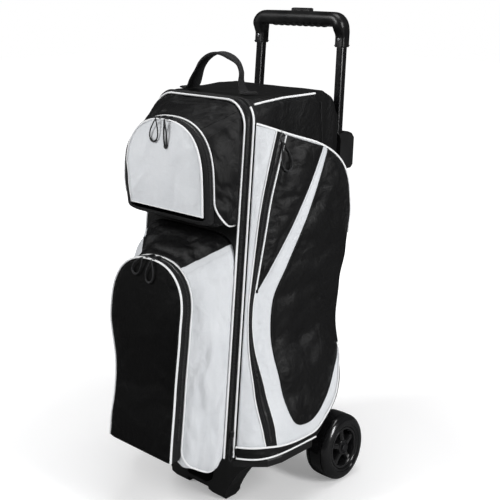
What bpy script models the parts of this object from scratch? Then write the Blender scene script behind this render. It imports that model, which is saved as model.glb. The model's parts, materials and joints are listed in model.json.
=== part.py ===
"""Upright three-ball roller bag on two wheels and a front stand.

Axes: +Z up, -Y is the front (pocket side), +X is the right-hand side as
seen from the front.  The body leans back by
LEAN (Y gained per unit of Z) while its top and base stay level.  Lengths are
metres.  Helper sh() takes a point with its Y measured in the leaning body, so
that one number describes a whole leaning face.
"""
import math

import bmesh
import bpy
from mathutils import Vector

# ------------------------------------------------------------ driving sizes
LEAN = 0.0916                 # backwards lean of the body, Y per Z
SHIFT_Y = -0.0783             # moves the origin under the middle of the bag
HALF_W = 0.140                # half width of the body
BODY_TOP = 0.790
BODY_BOTTOM = 0.1205
RIM = -0.0655                 # leaning Y of the body's front rim
BACK = 0.2097                 # leaning Y of the body's back
DOOR_FRONT = -0.0810
DOOR_BACK = -0.0732
SKIN = 0.005                  # padded fabric wall
GAP = 0.0004
BALL_R = 0.109                # 218 mm ball
WHEEL_R = 0.0635              # 5 inch wheel
WHEEL_Y = 0.218
WHEEL_X0, WHEEL_X1 = 0.1365, 0.1945
AXLE_R = 0.0040
TUBE_X = 0.1177
TUBE_SIDE = 0.0175
TUBE_Y = 0.2240               # leaning Y of the handle tubes
HANDLE_TRAVEL = 0.172
GRIP_TOP = 0.953
SHOE_HALF, SHOE_Z0, SHOE_ZC = 0.097, 0.1335, 0.390
SHOE_FRONT = (-0.1700, LEAN)      # Y at SHOE_Z0, and its own lean
ACC_HALF, ACC_Z0, ACC_ZC = 0.109, 0.575, 0.642
ACC_FRONT = (-0.1045, 0.0)

ANGLE = math.atan(LEAN)
SIN, COS = math.sin(ANGLE), math.cos(ANGLE)
AX_X = Vector((1, 0, 0))
AX_UP = Vector((0, SIN, COS))       # up along the leaning body
AX_OUT = Vector((0, -COS, SIN))     # straight out of the leaning front
DOOR_O = Vector((0, DOOR_FRONT + SHIFT_Y, 0))

LOOKS = {
    "black_fabric": ((0.018, 0.018, 0.020), 0.82, 0.0),
    "white_fabric": ((0.80, 0.81, 0.83), 0.80, 0.0),
    "black_plastic": ((0.020, 0.020, 0.022), 0.45, 0.0),
    "gloss_black": ((0.012, 0.012, 0.013), 0.22, 0.0),
    "black_tube": ((0.030, 0.030, 0.032), 0.30, 0.6),
    "steel": ((0.55, 0.56, 0.58), 0.35, 1.0),
    "foam": ((0.10, 0.10, 0.11), 0.90, 0.0),
    "cord": ((0.030, 0.030, 0.032), 0.70, 0.0),
    "board": ((0.05, 0.05, 0.055), 0.60, 0.0),
    "wheel_rubber": ((0.015, 0.015, 0.016), 0.25, 0.0),
}

for old in list(bpy.data.objects):
    bpy.data.objects.remove(old, do_unlink=True)


# ------------------------------------------------------------ helpers
def sh(x, yl, z):
    return Vector((x, yl + LEAN * z + SHIFT_Y, z))


def pt(x, y, z):
    return Vector((x, y + SHIFT_Y, z))


def front(u, v, n):
    """Point on the pocket side: u across, v up the lean, n out of the door."""
    return DOOR_O + AX_X * u + AX_UP * v + AX_OUT * n


def look(obj, kind):
    color, rough, metal = LOOKS[kind]
    m = bpy.data.materials.new(obj.name + "_" + kind)
    m.use_nodes = True
    b = m.node_tree.nodes["Principled BSDF"]
    b.inputs["Base Color"].default_value = (*color, 1)
    b.inputs["Roughness"].default_value = rough
    b.inputs["Metallic"].default_value = metal
    obj.data.materials.append(m)


def solid(name, verts, faces, kind, origin=(0, 0, 0), smooth=None, cutter=False):
    o = Vector(origin)
    mesh = bpy.data.meshes.new(name)
    bm = bmesh.new()
    vs = [bm.verts.new(Vector(v) - o) for v in verts]
    for f in faces:
        bm.faces.new([vs[i] for i in f])
    bmesh.ops.recalc_face_normals(bm, faces=bm.faces[:])
    bm.to_mesh(mesh)
    bm.free()
    obj = bpy.data.objects.new(name, mesh)
    obj.location = o
    bpy.context.scene.collection.objects.link(obj)
    if cutter:
        obj.hide_render = True
        obj.display_type = "WIRE"
        return obj
    look(obj, kind)
    if smooth:
        mesh.shade_smooth()
        mesh.set_sharp_from_angle(angle=math.radians(smooth))
    return obj


def loft(rings, caps=True, wrap=False):
    """Verts and faces of rings of equal count joined one after another."""
    n = len(rings[0])
    verts = [p for r in rings for p in r]
    faces = []
    m = len(rings)
    for i in range(m if wrap else m - 1):
        a, b = i * n, ((i + 1) % m) * n
        for j in range(n):
            k = (j + 1) % n
            faces.append((a + j, a + k, b + k, b + j))
    if caps and not wrap:
        faces.append(tuple(range(n)))
        faces.append(tuple(range((m - 1) * n, m * n)))
    return verts, faces


def sleeve(outer, inner, closed_end=False):
    """Hollow body: outer and inner rings, open at the start, and at the end
    either open too or closed by a floor."""
    n = len(outer[0])
    mo, mi = len(outer), len(inner)
    verts = [p for r in outer for p in r] + [p for r in inner for p in r]
    off = mo * n
    faces = []
    for base, count in ((0, mo), (off, mi)):
        for i in range(count - 1):
            a, b = base + i * n, base + (i + 1) * n
            for j in range(n):
                k = (j + 1) % n
                faces.append((a + j, a + k, b + k, b + j))
    for j in range(n):
        k = (j + 1) % n
        faces.append((j, k, off + k, off + j))
        if not closed_end:
            a, b = (mo - 1) * n, off + (mi - 1) * n
            faces.append((a + j, a + k, b + k, b + j))
    if closed_end:
        faces.append(tuple(range((mo - 1) * n, mo * n)))
        faces.append(tuple(range(off + (mi - 1) * n, off + mi * n)))
    return verts, faces


def rounded_rect(hw, z0, z1, rt, rb, seg=4):
    """(x, z) points round a rectangle with top radius rt, bottom radius rb."""
    out = []
    for cx, cz, r, a0 in ((-hw + rb, z0 + rb, rb, 180), (hw - rb, z0 + rb, rb, 270),
                          (hw - rt, z1 - rt, rt, 0), (-hw + rt, z1 - rt, rt, 90)):
        for i in range(seg + 1):
            a = math.radians(a0 + 90 * i / seg)
            out.append((cx + r * math.cos(a), cz + r * math.sin(a)))
    return out


def box_rings(x0, x1, y0, y1, z0, z1, leaning=True, r=0.0):
    """Two rings (bottom, top) of an upright block, corners cut by r."""
    f = sh if leaning else pt
    if r <= 0:
        p = [(x0, y0), (x1, y0), (x1, y1), (x0, y1)]
    else:
        p = [(x0 + r, y0), (x1 - r, y0), (x1, y0 + r), (x1, y1 - r),
             (x1 - r, y1), (x0 + r, y1), (x0, y1 - r), (x0, y0 + r)]
    return [[f(x, y, z) for x, y in p] for z in (z0, z1)]


def cut(obj, tool, name="cut"):
    m = obj.modifiers.new(name, "BOOLEAN")
    m.operation = "DIFFERENCE"
    m.solver = "EXACT"
    m.object = tool


def join(obj, tool, name="join"):
    m = obj.modifiers.new(name, "BOOLEAN")
    m.operation = "UNION"
    m.solver = "EXACT"
    m.object = tool


def circle_x(x, r, cy, cz, n):
    return [pt(x, cy + r * math.cos(2 * math.pi * k / n),
               cz + r * math.sin(2 * math.pi * k / n)) for k in range(n)]


def turned_ring(name, profile, n, kind, origin, smooth=35):
    """Ring turned about the wheel axis from a closed (x, r) profile."""
    rings = []
    for k in range(n):
        a = 2 * math.pi * k / n
        rings.append([pt(x, WHEEL_Y + r * math.cos(a), WHEEL_R + r * math.sin(a))
                      for x, r in profile])
    v, f = loft(rings, wrap=True)
    return solid(name, v, f, kind, origin, smooth)


def eased(table, z):
    """Value at z from a table of (z, value), eased between its rows."""
    if z <= table[0][0]:
        return table[0][1]
    for (a, va), (b, vb) in zip(table, table[1:]):
        if z <= b:
            t = (z - a) / (b - a)
            return va + (vb - va) * t * t * (3 - 2 * t)
    return table[-1][1]


def along(points, t):
    """Point at share t of the way along a list of points, by length."""
    lens = [math.dist(a, b) for a, b in zip(points, points[1:])]
    want = t * sum(lens)
    for a, b, d in zip(points, points[1:], lens):
        if want <= d or b is points[-1]:
            s = 0 if d == 0 else min(1, want / d)
            return tuple(p + (q - p) * s for p, q in zip(a, b))
        want -= d


# ------------------------------------------------------------ body shell
def body_rings(inset, stations):
    rings = []
    for yl, top, rt, hw in stations:
        r = max(rt - inset, 0.003)
        rings.append([sh(x, yl, z) for x, z in rounded_rect(
            hw - inset, BODY_BOTTOM + inset, top - inset, r, 0.006 - inset * 0.6)])
    return rings


outer_st = [(RIM, BODY_TOP, 0.045, HALF_W), (-0.03, BODY_TOP, 0.030, HALF_W),
            (0.02, BODY_TOP, 0.016, HALF_W), (0.155, BODY_TOP, 0.016, HALF_W),
            (0.184, 0.779, 0.024, HALF_W), (0.2015, 0.756, 0.034, 0.1385),
            (BACK, 0.722, 0.030, 0.131)]
inner_st = [(RIM, BODY_TOP, 0.045, HALF_W), (-0.03, BODY_TOP, 0.030, HALF_W),
            (0.02, BODY_TOP, 0.016, HALF_W), (0.155, BODY_TOP, 0.016, HALF_W),
            (0.184, 0.779, 0.024, HALF_W), (BACK - SKIN, 0.756, 0.034, 0.1375)]
v, f = sleeve(body_rings(0, outer_st), body_rings(SKIN, inner_st), closed_end=True)
main_shell = solid("main_shell", v, f, "black_fabric", smooth=30)

# stiff board inside the back wall, that the handle guides are riveted to
v, f = loft(box_rings(-0.126, 0.126, BACK - SKIN - 0.0044, BACK - SKIN - GAP, 0.134, 0.712))
solid("back_board", v, f, "board")

# foam floor cup and two foam dividers: plates with a round seat for a ball
def ball_y(z):
    return (DOOR_BACK + BACK) / 2 - 0.004 + LEAN * z


def ball_plate(name, z0, z1, hole_r, y0=-0.052, y1=0.1985, n=32):
    """Plate with a vertical round seat; its plan outline follows the lean."""
    zc = (z0 + z1) / 2
    cy = ball_y(zc)
    outer, inner = [], []
    for z in (z0, z1):
        o, i = [], []
        for k in range(n):
            a = 2 * math.pi * k / n
            c, s = math.cos(a), math.sin(a)
            ylo, yhi = y0 + LEAN * zc - cy, y1 + LEAN * zc - cy
            reach = min(0.1295 / max(abs(c), 1e-6),
                        (yhi if s > 0 else -ylo) / max(abs(s), 1e-6))
            o.append(pt(reach * c, cy + reach * s, z))
            i.append(pt(hole_r * c, cy + hole_r * s, z))
        outer.append(o)
        inner.append(i)
    v, f = sleeve(outer, inner)
    return solid(name, v, f, "foam")


FLOOR = BODY_BOTTOM + SKIN
ball_plate("ball_cup_floor", FLOOR + GAP, FLOOR + 0.0195, 0.068)
ball_plate("ball_divider_lower", FLOOR + 2 * BALL_R - 0.0055, FLOOR + 2 * BALL_R + 0.0055, 0.045)
ball_plate("ball_divider_upper", FLOOR + 4 * BALL_R - 0.0055, FLOOR + 4 * BALL_R + 0.0055, 0.045)

# ------------------------------------------------------------ main door
def rim_ring(hw, z0, z1, r, yl):
    return [sh(x, yl, z) for x, z in rounded_rect(hw, z0, z1, r, 0.006, 5)]


D0 = 0.1190
# half width, top and corner radius of the chamfered front, rim to door face
EDGE = {"rim": (0.1396, 0.7896, 0.0446), "mid": (0.1325, 0.7882, 0.0400), "face": (0.1240, 0.7862, 0.0340)}


def edge_ring(key, yl, inset=0.0, z0=D0):
    hw, top, r = EDGE[key]
    return rim_ring(hw - inset, z0 + inset, top - inset, r - inset * 0.6, yl)


v, f = sleeve([edge_ring("mid", DOOR_BACK), edge_ring("face", DOOR_FRONT)],
              [edge_ring("mid", DOOR_BACK, 0.0045), edge_ring("face", DOOR_FRONT + 0.0045, 0.0032)], closed_end=True)
DOOR_AXIS = sh(0, DOOR_BACK + 0.0002, D0)
solid("main_door", v, f, "black_fabric", DOOR_AXIS)

# zip track: band that runs up one side, over the top and down the other
def track_path(hw, z0, z1, r, seg=6):
    out = [(-hw, z0), (-hw, z1 - r)]
    for i in range(1, seg + 1):
        a = math.radians(180 - 90 * i / seg)
        out.append((-hw + r + r * math.cos(a), z1 - r + r * math.sin(a)))
    for i in range(seg + 1):
        a = math.radians(90 - 90 * i / seg)
        out.append((hw - r + r * math.cos(a), z1 - r + r * math.sin(a)))
    out.append((hw, z0))
    return out


def track_edge(key, inset):
    hw, top, r = EDGE[key]
    return track_path(hw - inset, 0.124, top - inset, r - inset)


rings = [[sh(a[0], DOOR_BACK + GAP, a[1]), sh(b[0], RIM - GAP, b[1]), sh(c[0], RIM - GAP, c[1]),
          sh(d[0], DOOR_BACK + GAP, d[1])] for a, b, c, d in zip(
    track_edge("mid", -0.0002), track_edge("rim", 0.0), track_edge("rim", 0.0030), track_edge("mid", 0.0028))]
v, f = loft(rings)
solid("main_zip_track", v, f, "black_fabric")


# ------------------------------------------------------------ front pockets
class Face:
    """Plane of a pocket's flap: u across, v up the flap from z0, n out."""

    def __init__(self, y0, lean, z0):
        a = math.atan(lean)
        self.o = pt(0, y0, z0)
        self.up = Vector((0, math.sin(a), math.cos(a)))
        self.out = Vector((0, -math.cos(a), math.sin(a)))

    def at(self, u, v, n=0.0):
        return self.o + AX_X * u + self.up * v + self.out * n


def arch_ring(face, w, vc, n, seg=16, sides=3, inset=0.0, lift=0.0):
    w, v0 = w - inset, inset + lift
    pts = [face.at(-w, v0 + (vc - v0) * i / sides, n) for i in range(sides)]
    for i in range(seg + 1):
        a = math.pi - math.pi * i / seg
        pts.append(face.at(w * math.cos(a), vc + w * math.sin(a), n))
    pts += [face.at(w, vc + (v0 - vc) * (i + 1) / sides, n) for i in range(sides)]
    pts += [face.at(w - 2 * w * (i + 1) / 4, v0, n) for i in range(3)]
    return pts


def door_ring(w, z0, zc, zt, seg=16, sides=3, inset=0.0, power=7):
    """Outline on the door with the same count of points as arch_ring."""
    w, z0, zt = w - inset, z0 + inset, zt - inset
    yl = DOOR_FRONT - GAP
    pts = [sh(-w, yl, z0 + (zc - z0) * i / sides) for i in range(sides)]
    for i in range(seg + 1):
        a = math.pi - math.pi * i / seg
        c, s = math.cos(a), math.sin(a)
        pts.append(sh(math.copysign(abs(c) ** (2 / power), c) * w, yl,
                      zc + (zt - zc) * abs(s) ** (2 / power)))
    pts += [sh(w, yl, zc + (z0 - zc) * (i + 1) / sides) for i in range(sides)]
    pts += [sh(w - 2 * w * (i + 1) / 4, yl, z0) for i in range(3)]
    return pts


FLAP_T = 0.0043


def pocket(name, half, z0, zc, plane, door_z0, door_zt, band, power):
    face = Face(plane[0], plane[1], z0)
    vc = (zc - z0) / face.up.z
    n1 = -FLAP_T - GAP
    n0 = n1 - band
    outs, ins = [], []
    for inset, store in ((0.0, outs), (0.003, ins)):
        arch0 = arch_ring(face, half, vc, n0, inset=inset)
        on_door = door_ring(0.1228, door_z0, zc, door_zt, inset=inset, power=power)
        store.append(arch_ring(face, half, vc, n1, inset=inset))
        store.append(arch0)
        store.append([a.lerp(b, 0.5) + face.out * 0.003 for a, b in zip(arch0, on_door)])
        store.append(on_door)
    v, f = sleeve(outs, ins)
    solid(name + "_pocket", v, f, "white_fabric", smooth=30)
    axis = face.at(0, 0, -FLAP_T - 0.0002)
    v, f = loft([arch_ring(face, half, vc, -FLAP_T, lift=0.0003),
                 arch_ring(face, half, vc, -0.0012, lift=0.0003),
                 arch_ring(face, half, vc, 0.0, inset=0.0015, lift=0.0003)])
    solid(name + "_flap", v, f, "black_fabric" if name == "shoe" else "white_fabric", axis)
    return face, vc, half, n0, axis


SHOE = pocket("shoe", SHOE_HALF, SHOE_Z0, SHOE_ZC, SHOE_FRONT, 0.1205, 0.530, 0.019, 5)
ACC = pocket("accessory", ACC_HALF, ACC_Z0, ACC_ZC, ACC_FRONT, 0.554, 0.7840, 0.016, 7)


# ------------------------------------------------------------ zip sliders, pulls
def slider(name, o, t, r, n, length, width, height, origin):
    """Slider body on the zip: t along the zip, r off the fabric, n across."""
    rings = []
    for h, a, b in ((0.0, 1.0, 1.0), (height * 0.55, 1.0, 0.92), (height, 0.72, 0.70)):
        ring = []
        for i, j in ((-1, -0.55), (-0.55, -1), (0.55, -1), (1, -0.55),
                     (1, 0.55), (0.55, 1), (-0.55, 1), (-1, 0.55)):
            ring.append(o + t * (i * width / 2 * a) + n * (j * length / 2 * b) + r * h)
        rings.append(ring)
    v, f = loft(rings)
    return solid(name, v, f, "steel", origin, smooth=25)


def pull(name, top, down, side, off, length, width, cord, origin, n_path=14, n_sec=5):
    """Closed cord loop that hangs from top; its widest place is low down."""
    path, out = [], []
    for k in range(n_path):
        a = 2 * math.pi * k / n_path
        d = (1 - math.cos(a)) / 2
        w = math.sin(a) * (0.28 + 0.72 * d ** 1.3)
        path.append(top + down * (cord + d * (length - 2 * cord)) + side * (w * (width / 2 - cord) * 1.12))
    rings = []
    for k in range(n_path):
        tan = (path[(k + 1) % n_path] - path[k - 1]).normalized()
        nor = tan.cross(off).normalized()
        rings.append([path[k] + nor * cord * math.cos(2 * math.pi * s / n_sec) +
                      off * cord * math.sin(2 * math.pi * s / n_sec) for s in range(n_sec)])
    v, f = loft(rings, wrap=True)
    return solid(name, v, f, "cord", origin, smooth=60)


def arch_slider(stem, data, side, start):
    """Slider and pull at the crown of an arched zip, start radians off it."""
    face, vc, half, n0, axis = data
    er = AX_X * (side * math.sin(start)) + face.up * math.cos(start)
    et = AX_X * math.cos(start) - face.up * (side * math.sin(start))
    centre = face.at(0, vc, 0)
    n_in, n_out = n0 + 0.004, 0.0035
    o = centre + er * (half + 0.0007) + face.out * ((n_in + n_out) / 2)
    slider(stem + "_slider", o, et, er, face.out, n_out - n_in, 0.0085, 0.0040, centre)
    top = centre + er * (half + 0.0035) + face.out * 0.0056
    pull(stem + "_pull", top, -face.up, AX_X, face.out, 0.034, 0.017, 0.0014, top)
    return {"centre": centre, "axis": face.out, "top": top, "swing": AX_X, "hang": -face.up, "off": face.out}


PIVOTS = {}
for side, tag in ((-1, "left"), (1, "right")):
    PIVOTS["shoe_" + tag] = arch_slider("shoe_zip_" + tag, SHOE, side, 0.100)
    PIVOTS["acc_" + tag] = arch_slider("accessory_zip_" + tag, ACC, side, 0.090)
    # main zip slider, parked at the foot of the track on the chamfered edge
    r = Vector((side, -1, 0)).normalized()
    t = Vector((side, 1, 0)).normalized()
    o = sh(side * 0.1362, -0.0694, 0.165) + r * 0.0011
    slider("main_zip_" + tag + "_slider", o, t, r, AX_UP, 0.015, 0.0085, 0.0042, o)
    top = o + r * 0.0066 - AX_UP * 0.002
    pull("main_zip_" + tag + "_pull", top, -AX_UP, t, r, 0.046, 0.012, 0.0014, top)
    PIVOTS["main_" + tag] = {"run": AX_UP, "top": top, "swing": t, "hang": -AX_UP, "off": r}

# ------------------------------------------------------------ side pockets
BULGE = [(.12, .052), (.16, .050), (.24, .036), (.33, .024), (.40, .028),
         (.465, .038), (.56, .047), (.65, .052), (.75, .052)]
RISE = [(.12, .024), (.16, .026), (.24, .035), (.35, .050), (.45, .060), (.60, .070), (.75, .075)]
POCKET_WALL = 0.003


def side_x(y, z):
    """Half width at the outside of a side pocket."""
    s = max(0.0, y - (-0.063 + LEAN * z))
    return 0.1445 + eased(BULGE, z) * (1 - math.exp(-s / eased(RISE, z)))


P_BOTTOM = [(-0.0525, 0.1212), (-0.012, 0.1212), (0.06, 0.1212), (0.120, 0.1212)]
P_FRONT = [(-0.063 + LEAN * z, z) for z in (0.1212, 0.28, 0.44, 0.60, 0.744)]
P_FRONT[0] = P_BOTTOM[0]
P_TOP = [P_FRONT[-1], (0.066, 0.7205), (0.1513, 0.6904), (0.1803, 0.674), (0.2077, 0.6499)]
P_REAR = [P_BOTTOM[-1], (0.145, 0.1390), (0.168, 0.1575), (0.196, 0.1850), (0.213, 0.215),
          (0.216, 0.245), (0.216, 0.30), (0.226, 0.40), (0.2375, 0.50), (0.2385, 0.56),
          (0.2290, 0.6111), P_TOP[-1]]
NA, NB = 10, 16


def side_grid(inset):
    """Grid of (y, z) that fills the pocket's outline, pulled in by inset."""
    grid = []
    for j in range(NB + 1):
        b = j / NB
        row = []
        for i in range(NA + 1):
            a = (i / NA) ** 1.25
            fr, re = along(P_FRONT, b), along(P_REAR, b)
            bo, to = along(P_BOTTOM, a), along(P_TOP, a)
            p = []
            for c in range(2):
                p.append((1 - b) * bo[c] + b * to[c] + (1 - a) * fr[c] + a * re[c]
                         - ((1 - a) * (1 - b) * P_BOTTOM[0][c] + a * (1 - b) * P_BOTTOM[-1][c]
                            + (1 - a) * b * P_TOP[0][c] + a * b * P_TOP[-1][c]))
            row.append(p)
        grid.append(row)
    cy, cz = 0.09, 0.42
    for row in grid:
        for p in row:
            dy, dz = p[0] - cy, p[1] - cz
            p[0] -= inset * dy / 0.13
            p[1] -= inset * dz / 0.30
    return grid


def border(g):
    return ([g[0][i] for i in range(NA)] + [g[j][NA] for j in range(NB)]
            + [g[NB][i] for i in range(NA, 0, -1)] + [g[j][0] for j in range(NB, 0, -1)])


def side_pocket(name, side):
    verts, faces = [], []
    wall_x = HALF_W + GAP
    loops = {}
    for key, inset, back in (("o", 0.0, 0.0), ("i", 0.004, POCKET_WALL)):
        g = side_grid(inset)
        base = len(verts)
        for row in g:
            for y, z in row:
                verts.append(pt(side * (side_x(y, z) - back), y, z))
        w = NA + 1
        for j in range(NB):
            for i in range(NA):
                a = base + j * w + i
                faces.append((a, a + 1, a + 1 + w, a + w))
        idx = ([base + i for i in range(NA)] + [base + j * w + NA for j in range(NB)]
               + [base + NB * w + i for i in range(NA, 0, -1)] + [base + j * w for j in range(NB, 0, -1)])
        rim = len(verts)
        for y, z in border(g):
            verts.append(pt(side * wall_x, y, z))
        m = len(idx)
        for k in range(m):
            q = (k + 1) % m
            faces.append((idx[k], idx[q], rim + q, rim + k))
        loops[key] = (rim, m)
    (a, m), (b, _) = loops["o"], loops["i"]
    for k in range(m):
        q = (k + 1) % m
        faces.append((a + k, a + q, b + q, b + k))
    return solid(name, verts, faces, "black_fabric", smooth=40)


def side_normal(y, z, side):
    e = 1e-4
    dy = (side_x(y + e, z) - side_x(y - e, z)) / (2 * e)
    dz = (side_x(y, z + e) - side_x(y, z - e)) / (2 * e)
    return Vector((side, -dy, -dz)).normalized()


Z_TOP, Z_RUN = (0.0500, 0.712), (0.0215, 0.622)   # upper run of the side zip, (y, z)
for side, tag in ((-1, "left"), (1, "right")):
    side_pocket("side_pocket_" + tag, side)
    r = side_normal(*Z_TOP, side)
    a = pt(side * side_x(*Z_TOP), *Z_TOP)
    b = pt(side * side_x(*Z_RUN), *Z_RUN)
    run = (b - a).normalized()
    t = run.cross(r).normalized()
    r = t.cross(run).normalized()
    if r.x * side < 0:
        r = -r
    o = a + r * 0.0022
    slider("side_zip_" + tag + "_slider", o, t, r, run, 0.014, 0.0090, 0.0042, o)
    top = o + r * 0.0066
    hang = (Vector((0, LEAN, -1)) - r * r.dot(Vector((0, LEAN, -1)))).normalized()
    across = hang.cross(r).normalized()
    pull("side_zip_" + tag + "_pull", top, hang, across, r, 0.042, 0.016, 0.0014, top)
    PIVOTS["side_" + tag] = {"run": run, "top": top, "swing": across, "hang": hang, "off": r}

# ------------------------------------------------------------ carry strap
S_PATH = [(-0.1060, 0.7912), (-0.0830, 0.7912), (-0.0815, 0.7955), (-0.0870, 0.808), (-0.0905, 0.822),
          (-0.0860, 0.838), (-0.0740, 0.852), (-0.053, 0.8625), (-0.028, 0.8680), (-0.003, 0.8660),
          (0.019, 0.8570), (0.034, 0.844), (0.0430, 0.828), (0.0450, 0.812), (0.0410, 0.7955),
          (0.0430, 0.7912), (0.0680, 0.7912)]
STRAP_T = 0.0032
rings = []
for k, (x, z) in enumerate(S_PATH):
    a = S_PATH[max(0, k - 1)]
    b = S_PATH[min(len(S_PATH) - 1, k + 1)]
    t = Vector((b[0] - a[0], 0, b[1] - a[1])).normalized()
    nrm = Vector((-t.z, 0, t.x))
    if k in (0, 1, len(S_PATH) - 1, len(S_PATH) - 2):
        nrm = Vector((0, 0, 1))
    c = pt(x, 0.060, z)
    rings.append([c + Vector((0, -0.019, 0)), c + Vector((0, 0.019, 0)),
                  c + Vector((0, 0.019, 0)) + nrm * STRAP_T, c + Vector((0, -0.019, 0)) + nrm * STRAP_T])
v, f = loft(rings)
solid("carry_strap", v, f, "black_fabric", smooth=40)

# ------------------------------------------------------------ base tray
PLAN = [(0.140, -0.0545), (0.165, -0.0350), (0.189, -0.0120), (0.1965, 0.020), (0.1965, 0.108),
        (0.184, 0.1240), (0.1325, 0.1400), (0.1325, 0.2180), (0.1240, 0.2300)]
BASE0, BASE1 = 0.1050, 0.1200


def plan_ring(z, inset=0.0):
    cy = 0.09
    right = [(x - inset, y - inset * (1 if y > cy else -1)) for x, y in PLAN]
    pts = right + [(-x, y) for x, y in reversed(right)]
    return [pt(x, y, z) for x, y in pts]


v, f = sleeve([plan_ring(BASE0), plan_ring(BASE0 + 0.011), plan_ring(BASE1, 0.0015)],
              [plan_ring(BASE0, 0.004), plan_ring(BASE1 - 0.004, 0.004)], closed_end=True)
solid("base_tray", v, f, "black_plastic")

# ------------------------------------------------------------ front stand
def outline_block(name, outline, y0, y1, kind, cutter=False, soften=0.0):
    """Block with an (x, z) outline, run from y0 to y1.  With soften, the
    lowest part rises towards both ends, as a rounded foot does."""
    rows = [(y0, 0), (y1, 0)] if not soften else [(y0, soften), (y0 + soften, 0), (y1 - soften, 0), (y1, soften)]
    rings = [[pt(x, y, z + up * max(0.0, 1 - z / 0.012)) for x, z in outline] for y, up in rows]
    v, f = loft(rings)
    return solid(name, v, f, kind, cutter=cutter)


foot = [(0.0715, 0.0), (0.0770, 0.0060), (0.0775, 0.0150), (0.0860, 0.0310), (0.096, 0.046), (0.114, 0.069),
        (0.135, 0.086), (0.160, 0.097), (0.174, 0.1010), (0.174, 0.1044)]
right_side = [(0.0, 0.0130), (0.0290, 0.0130), (0.0300, 0.0020), (0.0340, 0.0)] + foot
outline = right_side + [(-x, z) for x, z in reversed(right_side[1:])]
stand = outline_block("front_stand", outline, -0.0120, 0.0300, "black_plastic", soften=0.008)
window = [(0.0260, 0.0210), (0.0400, 0.0300), (0.0480, 0.0560), (0.0560, 0.0860), (-0.0560, 0.0860),
          (-0.0480, 0.0560), (-0.0400, 0.0300), (-0.0260, 0.0210)]
cut(stand, outline_block("stand_window", window, -0.05, 0.06, "black_plastic", cutter=True))

# ------------------------------------------------------------ running gear
WX = (WHEEL_X0 + WHEEL_X1) / 2
N_W = 32


def axle_origin(side=1):
    return pt(side * WX, WHEEL_Y, WHEEL_R)


for side, tag in ((-1, "left"), (1, "right")):
    c = axle_origin(side)
    W = WHEEL_X1 - WHEEL_X0
    # tyre: rounded shoulders, a groove round the tread
    t = [(0.0, 0.0410), (0.0, 0.0560), (0.0030, 0.0605), (0.0090, 0.0630), (0.0160, WHEEL_R),
         (0.0330, WHEEL_R), (0.0345, 0.0612), (0.0385, 0.0612), (0.0400, WHEEL_R - 0.0003),
         (0.0490, 0.0622), (0.0545, 0.0590), (W, 0.0530), (W, 0.0410)]
    turned_ring("wheel_tyre_" + tag, [(side * (WHEEL_X0 + x), r) for x, r in t], N_W, "wheel_rubber", c)
    # hub: rim ring, thin web with windows, boss with bearing seats
    h = [(0.0030, 0.0406), (W - 0.0030, 0.0406), (W - 0.0022, 0.0375), (W - 0.0120, 0.0360), (W - 0.0160, 0.0345),
         (W - 0.0145, 0.0160), (W - 0.0050, 0.0150), (W - 0.0050, 0.0113), (W - 0.0125, 0.0113),
         (W - 0.0125, 0.0085), (0.0125, 0.0085), (0.0125, 0.0113), (0.0050, 0.0113), (0.0050, 0.0150),
         (0.0250, 0.0160), (W - 0.0205, 0.0345), (0.0120, 0.0360), (0.0030, 0.0375)]
    hub = turned_ring("wheel_hub_" + tag, [(side * (WHEEL_X0 + x), r) for x, r in h], N_W, "gloss_black", c)
    for k in range(5):
        a0 = 2 * math.pi * (k + 0.22) / 5
        a1 = 2 * math.pi * (k + 0.78) / 5
        ring = []
        for r, a, b in ((0.0195, a0 + 0.10, a1 - 0.10), (0.0325, a1, a0)):
            for i in range(5):
                q = a + (b - a) * i / 4
                ring.append((WHEEL_Y + r * math.cos(q), WHEEL_R + r * math.sin(q)))
        v, f = loft([[pt(side * x, y, z) for y, z in ring] for x in (WHEEL_X0 - 0.01, WHEEL_X1 + 0.01)])
        cut(hub, solid(f"spoke_gap_{tag}_{k}", v, f, "black_plastic", cutter=True), f"gap{k}")
    for where, x0 in (("inner", WHEEL_X0 + 0.0054), ("outer", WHEEL_X1 - 0.0121)):
        b = [(x0, 0.0043), (x0, 0.0110), (x0 + 0.0067, 0.0110), (x0 + 0.0067, 0.0043)]
        turned_ring(f"bearing_{tag}_{where}", [(side * x, r) for x, r in b], 20, "steel", c)
    # screw that closes the axle's end
    e = WHEEL_X1 - 0.0046
    rings = [circle_x(side * x, r, WHEEL_Y, WHEEL_R, 6) for x, r in
             ((e, 0.0078), (e + 0.0030, 0.0078), (e + 0.0038, 0.0066))]
    v, f = loft(rings)
    solid("axle_nut_" + tag, v, f, "steel")
    # carrier that holds the axle under the tray
    plate = [(0.1490, BASE0 - 0.0006), (0.2330, BASE0 - 0.0006), (0.2350, 0.0800), (0.2300, 0.0560), (0.2180, 0.0500),
             (0.2060, 0.0560), (0.1800, 0.0850)]
    v, f = loft([[pt(side * x, y, z) for y, z in plate] for x in (0.1020, 0.1310)])
    carrier = solid("axle_carrier_" + tag, v, f, "black_plastic")
    v, f = loft([circle_x(side * x, AXLE_R + 0.0003, WHEEL_Y, WHEEL_R, 20) for x in (0.09, 0.14)])
    cut(carrier, solid("carrier_bore_" + tag, v, f, "black_plastic", cutter=True))

v, f = loft([circle_x(x, AXLE_R, WHEEL_Y, WHEEL_R, 20) for x in (-WHEEL_X1 + 0.0050, WHEEL_X1 - 0.0050)])
solid("wheel_axle", v, f, "steel", smooth=40)

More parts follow.
